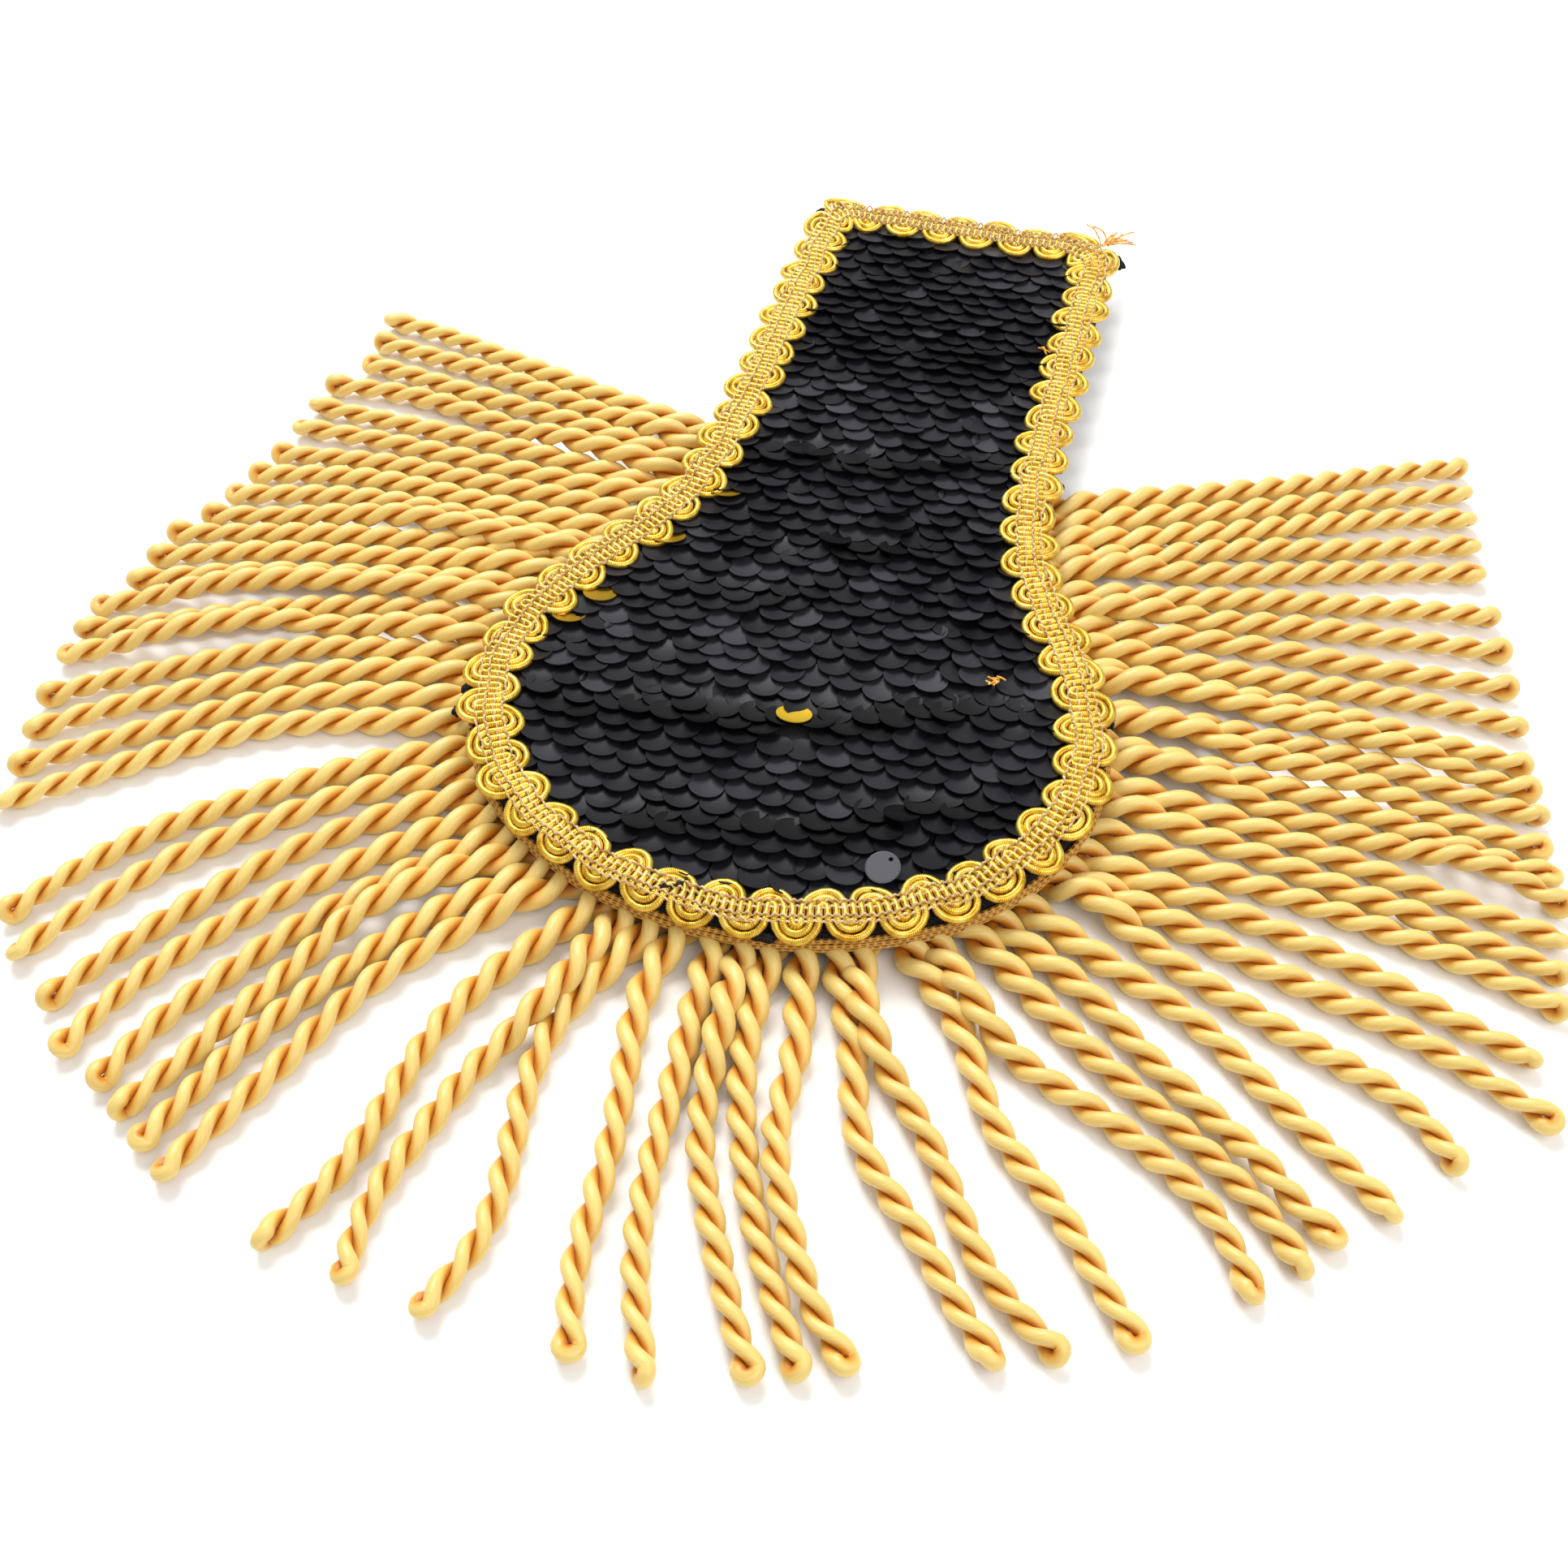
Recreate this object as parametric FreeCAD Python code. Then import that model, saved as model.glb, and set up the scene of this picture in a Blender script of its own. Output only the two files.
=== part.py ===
"""Bullion epaulette lying face up: a keyhole board covered in sequins, edged with scroll gimp braid,
with twisted bullion fringe sewn under its round end. Millimetres, +Z up, strap end towards +Y."""
import FreeCAD, Part
import math
import os

Vector = FreeCAD.Vector

# Half outline of the sequined area, from the tip of the round end to the end of the strap
# Columns: along (distance from the tip), half_width
FIELD_OUTLINE = (
    (0.0, 0.0),
    (1.3, 12.0),
    (5.0, 22.5),
    (11.5, 32.5),
    (20.5, 39.3),
    (31.0, 43.4),
    (43.0, 43.2),
    (55.0, 39.0),
    (67.0, 32.4),
    (79.0, 27.2),
    (93.0, 24.3),
    (112.0, 23.4),
    (140.0, 23.4),
    (165.0, 23.3),
)
FIELD_END = 169.0
CORNER_STEPS = 3
CORNER_RADIUS = 2.0
CORNER_ZONE = 12.0
CORNER_FULLNESS = 0.75

BRAID_WIDTH = 9.0
BRAID_LOOPS = 61
SCALLOP_DEPTH = 1.3
BRAID_THICKNESS = 1.8

BOARD_OVERHANG = 7.4
BOARD_THICKNESS = 2.4
CLOTH_THICKNESS = 1.0
CLOTH_INSET = 0.4
SEAT_GAP = 0.2

STRAND_HEIGHT = 4.6
STRAND_WIDTH = 3.5
STRAND_SIDES = 8
STRAND_STATIONS = 6
STRAND_TIP_SCALE = 0.6
STRAND_TIP_LENGTH = 1.6
ROOT_OFFSET = 3.0
HEAD_INSIDE = -2.5
HEAD_OUTSIDE = 8.0
HEAD_BOTTOM = 0.5
HEAD_TOP = 4.8
HEAD_GAP = 0.5

# Where the fringe starts on the left flank and ends on the right one, from the tip of the round end
FRINGE_LEFT_START = 104.0
FRINGE_RIGHT_END = 102.0

# Locks of bullion, from the left flank round the front to the right flank, seen from above
# Columns: side, strands, first tip x, first tip y, last tip x, last tip y, bow to the right of its way
LOCKS = (
    ("left", 3, -106.0, 123.0, -104.7, 109.0, 1.6),
    ("left", 3, -109.0, 101.0, -109.6, 87.6, 2.0),
    ("left", 4, -110.2, 79.5, -115.0, 60.5, 3.0),
    ("left", 3, -118.8, 54.5, -119.9, 41.5, 4.5),
    ("left", 3, -122.8, 34.0, -122.6, 22.0, 5.5),
    ("left", 4, -121.0, 12.5, -116.0, -9.8, 7.0),
    ("left", 2, -104.0, -28.8, -99.0, -35.0, 7.0),
    ("left", 2, -90.3, -41.3, -84.3, -48.0, 6.5),
    ("left", 4, -76.5, -51.5, -60.8, -62.2, 6.0),
    ("front", 3, -43.1, -67.8, -19.0, -71.0, 3.3),
    ("front", 2, 1.0, -71.4, 11.2, -71.9, 3.5),
    ("front", 3, 24.0, -68.2, 35.5, -63.8, 6.0),
    ("front", 2, 53.4, -58.1, 61.1, -55.2, 5.5),
    ("front", 2, 70.8, -50.8, 84.5, -40.0, 0.5),
    ("front", 2, 90.4, -34.6, 94.0, -29.4, -1.0),
    ("front", 2, 101.1, -23.5, 109.2, -13.5, -3.0),
    ("right", 2, 121.6, -3.5, 118.5, 6.2, -1.5),
    ("right", 3, 122.3, 16.0, 122.1, 28.6, -1.5),
    ("right", 3, 122.6, 35.5, 119.2, 45.8, -1.5),
    ("right", 3, 118.6, 52.5, 115.9, 62.5, -1.5),
    ("right", 2, 114.9, 71.0, 113.2, 79.5, -1.5),
    ("right", 2, 111.8, 88.0, 109.6, 96.0, -1.0),
    ("right", 5, 106.7, 106.5, 102.4, 134.5, -0.5),
)

PIN_ALONG = 150.0
PIN_SPAN = 36.0
PIN_FOOT = 5.0
PIN_DEPTH = 6.0
PIN_PLATE = 1.2
PIN_RADIUS = 0.8
PIN_ROD_HEIGHT = 1.6

BOARD_BOTTOM = HEAD_TOP + SEAT_GAP
BOARD_TOP = BOARD_BOTTOM + BOARD_THICKNESS
CLOTH_BOTTOM = BOARD_TOP + SEAT_GAP
BRAID_BOTTOM = CLOTH_BOTTOM + CLOTH_THICKNESS + SEAT_GAP
SMOOTH_STEPS = 6
OUTLINE_ARCS = 60
STRAIGHT_LIMIT = 0.02
EVENING_REACH = 2.0
CENTRE_SAMPLES = 600
HEAD_STEP = 8.0


def smooth(points, steps):
    """Points along a smooth curve through the given ones."""
    padded = [points[0]] + list(points) + [points[-1]]
    curve = []
    for a, b, c, d in zip(padded, padded[1:], padded[2:], padded[3:]):
        for step in range(steps):
            t = step / steps
            curve.append(tuple(0.5 * (2 * q + (r - p) * t + (2 * p - 5 * q + 4 * r - s) * t * t
                                      + (3 * q - p - 3 * r + s) * t ** 3) for p, q, r, s in zip(a, b, c, d)))
    curve.append(points[-1])
    return curve


def corner(side):
    """The rounded corner at the strap's far end, on one side, as (x, y) points away from the flank."""
    width = FIELD_OUTLINE[-1][1] - CORNER_RADIUS
    along = FIELD_END - CORNER_RADIUS
    turns = [math.pi / 2 * step / CORNER_STEPS for step in range(1, CORNER_STEPS + 1)]
    return [(side * (width + CORNER_RADIUS * math.cos(a)), along + CORNER_RADIUS * math.sin(a)) for a in turns]


def field_loop():
    """The closed edge of the sequined area as (x, y) points, from the left far corner round the front."""
    half = [(width, along) for along, width in FIELD_OUTLINE]
    flank = smooth([(-x, y) for x, y in reversed(half)] + half[1:], SMOOTH_STEPS)
    return list(reversed(corner(-1.0))) + flank + corner(1.0)


def distances(loop):
    """Length from the loop's start to each point, and back to the start."""
    lengths = [0.0]
    for a, b in zip(loop, loop[1:] + loop[:1]):
        lengths.append(lengths[-1] + math.dist(a, b))
    return lengths


def at_length(loop, lengths, length, offset):
    """The point at a length along the loop, moved outwards by the offset."""
    length %= lengths[-1]
    index = max(i for i in range(len(loop)) if lengths[i] <= length)
    a = loop[index]
    b = loop[(index + 1) % len(loop)]
    share = (length - lengths[index]) / (lengths[index + 1] - lengths[index])
    x = a[0] + (b[0] - a[0]) * share
    y = a[1] + (b[1] - a[1]) * share
    out = outward(loop, lengths, length)
    if y > FIELD_END - CORNER_ZONE:
        offset *= max(abs(out[0]), abs(out[1])) ** -CORNER_FULLNESS
    return (x + out[0] * offset, y + out[1] * offset)


def outward(loop, lengths, length):
    """The outward direction at a length along the loop, evened over a short stretch."""
    reach = EVENING_REACH
    ends = []
    for value in (length - reach, length + reach):
        value %= lengths[-1]
        index = max(i for i in range(len(loop)) if lengths[i] <= value)
        a = loop[index]
        b = loop[(index + 1) % len(loop)]
        share = (value - lengths[index]) / (lengths[index + 1] - lengths[index])
        ends.append((a[0] + (b[0] - a[0]) * share, a[1] + (b[1] - a[1]) * share))
    dx = ends[1][0] - ends[0][0]
    dy = ends[1][1] - ends[0][1]
    size = math.hypot(dx, dy)
    return (dy / size, -dx / size)


def arc_wire(points, height):
    """A closed wire of arcs, each through three points in a row."""
    ring = [Vector(x, y, height) for x, y in points]
    edges = []
    for index in range(0, len(ring), 2):
        ends = (ring[index], ring[index + 1], ring[(index + 2) % len(ring)])
        bend = (ends[1] - ends[0]).cross(ends[2] - ends[1]).Length
        if bend < STRAIGHT_LIMIT:
            edges.append(Part.makeLine(ends[0], ends[2]))
        else:
            edges.append(Part.Arc(*ends).toShape())
    return Part.Wire(edges)


def plate(loop, lengths, offset, bottom, thickness):
    """A flat plate inside the loop moved outwards by the offset."""
    step = lengths[-1] / (2 * OUTLINE_ARCS)
    points = [at_length(loop, lengths, step * index, offset) for index in range(2 * OUTLINE_ARCS)]
    return Part.Face(arc_wire(points, bottom)).extrude(Vector(0, 0, thickness))


def even_places(loop, lengths, count, phase):
    """Lengths along the loop whose places lie evenly spaced along the middle of the braid."""
    step = lengths[-1] / CENTRE_SAMPLES
    middle = [at_length(loop, lengths, step * index, BRAID_WIDTH / 2) for index in range(CENTRE_SAMPLES)]
    travelled = distances(middle)
    places = []
    for index in range(count):
        target = (index + phase) % count * travelled[-1] / count
        before = max(i for i in range(CENTRE_SAMPLES) if travelled[i] <= target)
        share = (target - travelled[before]) / (travelled[before + 1] - travelled[before])
        places.append((before + share) * step)
    return places


def scalloped_wire(loop, lengths, offset, depth, phase):
    """A closed wire of scallops, one for each loop of the braid."""
    notches = even_places(loop, lengths, BRAID_LOOPS, phase)
    crowns = even_places(loop, lengths, BRAID_LOOPS, phase + 0.5)
    points = []
    for notch, crown in zip(notches, crowns):
        points.append(at_length(loop, lengths, notch, offset))
        points.append(at_length(loop, lengths, crown, offset + depth))
    return arc_wire(points, BRAID_BOTTOM)


def make_braid(loop, lengths):
    """The band of scroll gimp, scalloped along both edges."""
    outer = scalloped_wire(loop, lengths, BRAID_WIDTH - SCALLOP_DEPTH, SCALLOP_DEPTH, 0.5)
    inner = scalloped_wire(loop, lengths, SCALLOP_DEPTH, -SCALLOP_DEPTH, 0.0)
    band = Part.Face(outer).cut(Part.Face(inner))
    return band.extrude(Vector(0, 0, BRAID_THICKNESS))


def lock_strands():
    """Each strand as (side, tip x, tip y, bow), spread evenly through its lock."""
    strands = []
    for side, count, first_x, first_y, last_x, last_y, bow in LOCKS:
        for index in range(count):
            share = index / max(count - 1, 1)
            tip = (first_x + (last_x - first_x) * share, first_y + (last_y - first_y) * share)
            strands.append((side, tip, bow))
    return strands


def fringe_span(loop, lengths):
    """The lengths along the loop where the fringe starts and ends."""
    flank = [i for i in range(len(loop)) if loop[i][0] < 0 and loop[i][1] >= FRINGE_LEFT_START]
    far_flank = [i for i in range(len(loop)) if loop[i][0] > 0 and loop[i][1] <= FRINGE_RIGHT_END]
    return lengths[max(flank)], lengths[max(far_flank)]


def strand_path(root, tip, bow):
    """Points from root to tip along a gentle curve that bows to the right of its way."""
    dx = tip[0] - root[0]
    dy = tip[1] - root[1]
    size = math.hypot(dx, dy)
    middle = ((root[0] + tip[0]) / 2 + 2 * bow * dy / size, (root[1] + tip[1]) / 2 - 2 * bow * dx / size)
    path = []
    for step in range(STRAND_STATIONS):
        t = step / (STRAND_STATIONS - 1)
        weights = ((1 - t) ** 2, 2 * t * (1 - t), t * t)
        path.append(tuple(sum(w * p[axis] for w, p in zip(weights, (root, middle, tip))) for axis in (0, 1)))
    return path


def strand_rings(path):
    """The outer form of one strand as rings of corners, with a narrower ring at its tip."""
    last = path[-1]
    before = path[-2]
    size = math.dist(last, before)
    shift = STRAND_TIP_LENGTH / size
    end = (last[0] + (last[0] - before[0]) * shift, last[1] + (last[1] - before[1]) * shift)
    stations = list(path) + [end]
    rings = []
    facet_top = math.cos(math.pi / STRAND_SIDES)
    for index, point in enumerate(stations):
        a = stations[max(index - 1, 0)]
        b = stations[min(index + 1, len(stations) - 1)]
        length = math.dist(a, b)
        across = ((b[1] - a[1]) / length, -(b[0] - a[0]) / length)
        scale = STRAND_TIP_SCALE if index == len(stations) - 1 else 1.0
        ring = []
        for corner_index in range(STRAND_SIDES):
            angle = 2 * math.pi * (corner_index + 0.5) / STRAND_SIDES
            reach = scale * math.cos(angle) * STRAND_WIDTH / 2
            rise = scale * math.sin(angle) / facet_top
            ring.append(Vector(point[0] + across[0] * reach, point[1] + across[1] * reach,
                               STRAND_HEIGHT / 2 * (1 + rise)))
        rings.append(ring)
    return rings


def faceted_solid(rings):
    """A closed solid of flat facets through rings of corners."""
    faces = [Part.Face(Part.makePolygon(rings[0] + rings[0][:1]))]
    for ring, following in zip(rings, rings[1:]):
        for index in range(STRAND_SIDES):
            after = (index + 1) % STRAND_SIDES
            first = (ring[index], ring[after], following[after], ring[index])
            second = (ring[index], following[after], following[index], ring[index])
            faces.append(Part.Face(Part.makePolygon(first)))
            faces.append(Part.Face(Part.makePolygon(second)))
    faces.append(Part.Face(Part.makePolygon(rings[-1] + rings[-1][:1])))
    solid = Part.Solid(Part.Shell(faces))
    if solid.Volume < 0:
        solid.reverse()
    return solid


def head_strip(loop, lengths, start, end):
    """The strip under the board's rim that the strands of one side hang from."""
    count = round((end - start) / HEAD_STEP)
    places = [start + (end - start) * index / count for index in range(count + 1)]
    outside = [Vector(*at_length(loop, lengths, place, HEAD_OUTSIDE), HEAD_BOTTOM) for place in places]
    inside = [Vector(*at_length(loop, lengths, place, HEAD_INSIDE), HEAD_BOTTOM) for place in places]
    outline = Part.makePolygon(outside + inside[::-1] + outside[:1])
    return Part.Face(outline).extrude(Vector(0, 0, HEAD_TOP - HEAD_BOTTOM))


def make_fringe(loop, lengths):
    """The fringe of each side: its strands fused to their stretch of the head."""
    strands = lock_strands()
    start, end = fringe_span(loop, lengths)
    pitch = (end - start) / len(strands)
    sides = {}
    for index, (side, tip, bow) in enumerate(strands):
        place = start + (index + 0.5) * pitch
        root = at_length(loop, lengths, place, ROOT_OFFSET)
        tube = faceted_solid(strand_rings(strand_path(root, tip, bow)))
        sides.setdefault(side, []).append((place, tube))
    fringe = {}
    for side, members in sides.items():
        low = members[0][0] - pitch / 2 + HEAD_GAP / 2
        high = members[-1][0] + pitch / 2 - HEAD_GAP / 2
        head = head_strip(loop, lengths, low, high)
        fringe["bullion_fringe_" + side] = head.multiFuse([tube for _, tube in members])
    return fringe


def make_pin_bar():
    """The plain bar pin on the strap's underside: a plate, two feet and the rod between them."""
    top = BOARD_BOTTOM - SEAT_GAP
    left = -PIN_SPAN / 2
    corner_y = PIN_ALONG - PIN_DEPTH / 2
    plate_box = Part.makeBox(PIN_SPAN, PIN_DEPTH, PIN_PLATE, Vector(left, corner_y, top - PIN_PLATE))
    feet = [Part.makeBox(PIN_FOOT, PIN_DEPTH, top, Vector(x, corner_y, 0.0))
            for x in (left, -left - PIN_FOOT)]
    rod = Part.makeCylinder(PIN_RADIUS, PIN_SPAN - PIN_FOOT,
                            Vector(left + PIN_FOOT / 2, PIN_ALONG, PIN_ROD_HEIGHT), Vector(1, 0, 0))
    return plate_box.multiFuse(feet + [rod]).removeSplitter()


def centred(pieces):
    """Every piece moved so that the whole stands on the origin, centred in plan."""
    box = FreeCAD.BoundBox()
    for shape in pieces.values():
        box.add(shape.BoundBox)
    shift = Vector(-box.Center.x, -box.Center.y, -box.ZMin)
    return {name: shape.translated(shift) for name, shape in pieces.items()}, shift


def main():
    loop = field_loop()
    lengths = distances(loop)
    pieces = {
        "board": plate(loop, lengths, BOARD_OVERHANG, BOARD_BOTTOM, BOARD_THICKNESS),
        "sequin_cloth": plate(loop, lengths, BOARD_OVERHANG - CLOTH_INSET, CLOTH_BOTTOM, CLOTH_THICKNESS),
        "gimp_braid": make_braid(loop, lengths),
        "pin_bar": make_pin_bar(),
    }
    pieces.update(make_fringe(loop, lengths))
    pieces, shift = centred(pieces)
    os.makedirs("parts", exist_ok=True)
    print("shift", shift)
    for name, shape in pieces.items():
        solid = shape if shape.ShapeType == "Solid" else shape.Solids[0]
        print(name, solid.isValid(), len(shape.Solids), round(solid.Volume), len(solid.Faces), shape.BoundBox)
        solid.exportStep("parts/" + name + ".step")


main()
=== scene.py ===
"""Bullion epaulette lying face up on a pale table. Metres, in the part's own frame."""
import math

import bpy
import numpy as np
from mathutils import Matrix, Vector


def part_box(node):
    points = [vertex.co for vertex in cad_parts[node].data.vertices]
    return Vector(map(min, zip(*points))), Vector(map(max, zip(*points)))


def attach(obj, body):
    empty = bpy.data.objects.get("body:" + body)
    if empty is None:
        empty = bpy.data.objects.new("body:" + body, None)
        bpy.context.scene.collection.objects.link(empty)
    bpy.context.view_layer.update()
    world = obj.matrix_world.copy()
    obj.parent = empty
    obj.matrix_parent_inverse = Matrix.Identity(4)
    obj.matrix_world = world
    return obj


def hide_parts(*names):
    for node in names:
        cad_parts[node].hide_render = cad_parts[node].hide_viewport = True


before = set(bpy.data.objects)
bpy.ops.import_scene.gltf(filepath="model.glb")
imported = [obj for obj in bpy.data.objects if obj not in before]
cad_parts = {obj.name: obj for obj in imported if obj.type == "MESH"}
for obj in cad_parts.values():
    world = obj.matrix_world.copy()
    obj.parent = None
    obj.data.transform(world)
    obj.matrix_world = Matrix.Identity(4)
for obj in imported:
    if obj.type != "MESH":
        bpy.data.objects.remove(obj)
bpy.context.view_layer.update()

MM = 0.001

# Seeds of each piece's own unevenness
FRINGE_SEED = 11
HEADING_SEED = 41
BRAID_SEED = 5
SEQUIN_SEED = 23
TURNED_SEED = 29
FOLD_SEED = 61
THREAD_SEED = 67

# Half outline of the sequined area in millimetres, from the tip of the round end
# Columns: along, half width
FIELD_OUTLINE = (
    (0.0, 0.0),
    (1.3, 12.0),
    (5.0, 22.5),
    (11.5, 32.5),
    (20.5, 39.3),
    (31.0, 43.4),
    (43.0, 43.2),
    (55.0, 39.0),
    (67.0, 32.4),
    (79.0, 27.2),
    (93.0, 24.3),
    (112.0, 23.4),
    (140.0, 23.4),
    (165.0, 23.3),
)
# The strap's far end and its rounded corners, in millimetres
FIELD_END = 169.0
CORNER_RADIUS = 2.0
CORNER_STEPS = 3
CORNER_ZONE = 12.0
CORNER_FULLNESS = 0.75
EVENING_REACH = 2.0 * MM
SMOOTH_STEPS = 6
# How far back from the tip the round end's front reaches, and how far its rim is drawn in there
FRONT_REACH = 22.0 * MM
RIM_TUCK = 1.3 * MM
RIM_POINTS = 240
RIM_SHADE_ANGLE = math.radians(50.0)
# The board, the braid and the fringe's roots round the sequined area
BOARD_OVERHANG = 7.4 * MM
BRAID_WIDTH = 9.0 * MM
BRAID_LOOPS = 61
ROOT_OFFSET = 3.0 * MM
FRINGE_LEFT_START = 104.0 * MM
FRINGE_RIGHT_END = 102.0 * MM
UP = np.array((0.0, 0.0, 1.0))
SHORTEST = 1e-12

# Locks of bullion in millimetres, from the left flank round the front to the right flank
# Columns: side, strands, first tip x, first tip y, last tip x, last tip y, bow to the right of its way
LOCKS = (
    ("left", 3, -106.0, 123.0, -104.7, 109.0, 1.6),
    ("left", 3, -109.0, 101.0, -109.6, 87.6, 2.0),
    ("left", 4, -110.2, 79.5, -115.0, 60.5, 3.0),
    ("left", 3, -118.8, 54.5, -119.9, 41.5, 4.5),
    ("left", 3, -122.8, 34.0, -122.6, 22.0, 5.5),
    ("left", 4, -121.0, 12.5, -116.0, -9.8, 7.0),
    ("left", 2, -104.0, -28.8, -99.0, -35.0, 7.0),
    ("left", 2, -90.3, -41.3, -84.3, -48.0, 6.5),
    ("left", 4, -76.5, -51.5, -60.8, -62.2, 6.0),
    ("front", 3, -43.1, -67.8, -19.0, -71.0, 3.3),
    ("front", 2, 1.0, -71.4, 11.2, -71.9, 3.5),
    ("front", 3, 24.0, -68.2, 35.5, -63.8, 6.0),
    ("front", 2, 53.4, -58.1, 61.1, -55.2, 5.5),
    ("front", 2, 70.8, -50.8, 84.5, -40.0, 0.5),
    ("front", 2, 90.4, -34.6, 94.0, -29.4, -1.0),
    ("front", 2, 101.1, -23.5, 109.2, -13.5, -3.0),
    ("right", 2, 121.6, -3.5, 118.5, 6.2, -1.5),
    ("right", 3, 122.3, 16.0, 122.1, 28.6, -1.5),
    ("right", 3, 122.6, 35.5, 119.2, 45.8, -1.5),
    ("right", 3, 118.6, 52.5, 115.9, 62.5, -1.5),
    ("right", 2, 114.9, 71.0, 113.2, 79.5, -1.5),
    ("right", 2, 111.8, 88.0, 109.6, 96.0, -1.0),
    ("right", 5, 106.7, 106.5, 102.4, 134.5, -0.5),
)

# How far a strand strays to the side of its bow
# Columns: half waves along the strand, usual size in millimetres
STRAY_WAVES = (
    (2, 1.3),
    (3, 0.65),
    (5, 0.3),
)
# The two plies of a strand; spread, swell, fullness and split are shares of their radius
PLY_RADIUS = 1.17 * MM
PLY_SPREAD = 0.96
PLY_SWELL = 0.04
PLY_SWELL_LENGTH = 7.0 * MM
ROOT_FULLNESS = 1.14
TIP_FULLNESS = 0.83
ROOT_TWIST_PITCH = 15.0 * MM
TIP_TWIST_PITCH = 10.6 * MM
PITCH_VARIATION = (0.93, 1.07)
START_ANGLE_SPREAD = 0.5
RING_STEP = 0.72 * MM
PLY_SIDES = 12
# How strands lie on the table and over each other; start and span are shares of their length
STRAND_RADIUS = 2.3 * MM
CLEAR_DISTANCE = 1.96 * STRAND_RADIUS
LIFT_LIMIT = 2.6 * MM
LIFT_START = 0.06
LIFT_SPAN = 0.14
LIFT_EVENING = 9
TIP_LOOP_RINGS = 7
PATH_POINTS = 49
FEWEST_STEPS = 4
LOOSENESS = {"left": 0.55, "front": 1.0, "right": 0.6}
# The plies' parting near the root, their knob at the tip and the painted orange shade on each ply's side
# turned into the groove between them
ROOT_SPLIT_END = 10.0 * MM
ROOT_SPLIT_LENGTH = 5.0 * MM
ROOT_SPLIT = 0.20
KNOB_LENGTH = 4.0 * MM
KNOB_FULLNESS = 0.24
KNOB_SPREAD = 0.08
GROOVE_SHADE_START = -0.35
GROOVE_SHADE_SPAN = 1.10

BOARD_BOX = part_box("board")
CENTRE_X = (BOARD_BOX[0][0] + BOARD_BOX[1][0]) / 2
TIP_Y = BOARD_BOX[0][1] + BOARD_OVERHANG
BOARD_BOTTOM = BOARD_BOX[0][2]
BOARD_TOP = BOARD_BOX[1][2]
CLOTH_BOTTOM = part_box("sequin_cloth")[0][2]
BRAID_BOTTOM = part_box("gimp_braid")[0][2]

# The photograph's camera, worked out from the even pitch of the braid's loops
PHOTO_SIZE = 1932.0
FOCAL_PIXELS = 2330.0
CAMERA_PITCH = math.radians(50.0)
CAMERA_HEADING = math.radians(15.6)
CAMERA_PLACE = (54.8 * MM, -161.2 * MM, 234.8 * MM)
SENSOR_WIDTH = 36.0
NEAR_CLIP = 0.01


def make_camera():
    """The camera at the photograph's height, distance and angle."""
    data = bpy.data.cameras.new("photo_camera")
    data.sensor_width = SENSOR_WIDTH
    data.lens = FOCAL_PIXELS / PHOTO_SIZE * SENSOR_WIDTH
    data.clip_start = NEAR_CLIP
    camera = bpy.data.objects.new("photo_camera", data)
    bpy.context.collection.objects.link(camera)
    camera.location = (CAMERA_PLACE[0] + CENTRE_X, CAMERA_PLACE[1] + TIP_Y, CAMERA_PLACE[2])
    camera.rotation_euler = (math.pi / 2 - CAMERA_PITCH, 0.0, CAMERA_HEADING)
    bpy.context.scene.camera = camera


# Places along the edge

def eased(share):
    """A share from 0 to 1 with a soft start and end."""
    return share * share * (3 - 2 * share)


def path_length(points):
    """Length from a path's start to each of its points."""
    return np.concatenate(([0.0], np.cumsum(np.linalg.norm(np.diff(points, axis=0), axis=1))))


def smooth(points, steps):
    """Points along a smooth curve through the given ones."""
    padded = [points[0]] + list(points) + [points[-1]]
    curve = []
    for a, b, c, d in zip(padded, padded[1:], padded[2:], padded[3:]):
        for step in range(steps):
            t = step / steps
            curve.append(tuple(0.5 * (2 * q + (r - p) * t + (2 * p - 5 * q + 4 * r - s) * t * t
                                      + (3 * q - p - 3 * r + s) * t ** 3) for p, q, r, s in zip(a, b, c, d)))
    curve.append(points[-1])
    return curve


def corner(side):
    """The rounded corner at the strap's far end, on one side, as (x, y) points away from the flank."""
    width = FIELD_OUTLINE[-1][1] - CORNER_RADIUS
    along = FIELD_END - CORNER_RADIUS
    turns = [math.pi / 2 * step / CORNER_STEPS for step in range(1, CORNER_STEPS + 1)]
    return [(side * (width + CORNER_RADIUS * math.cos(turn)), along + CORNER_RADIUS * math.sin(turn))
            for turn in turns]


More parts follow.
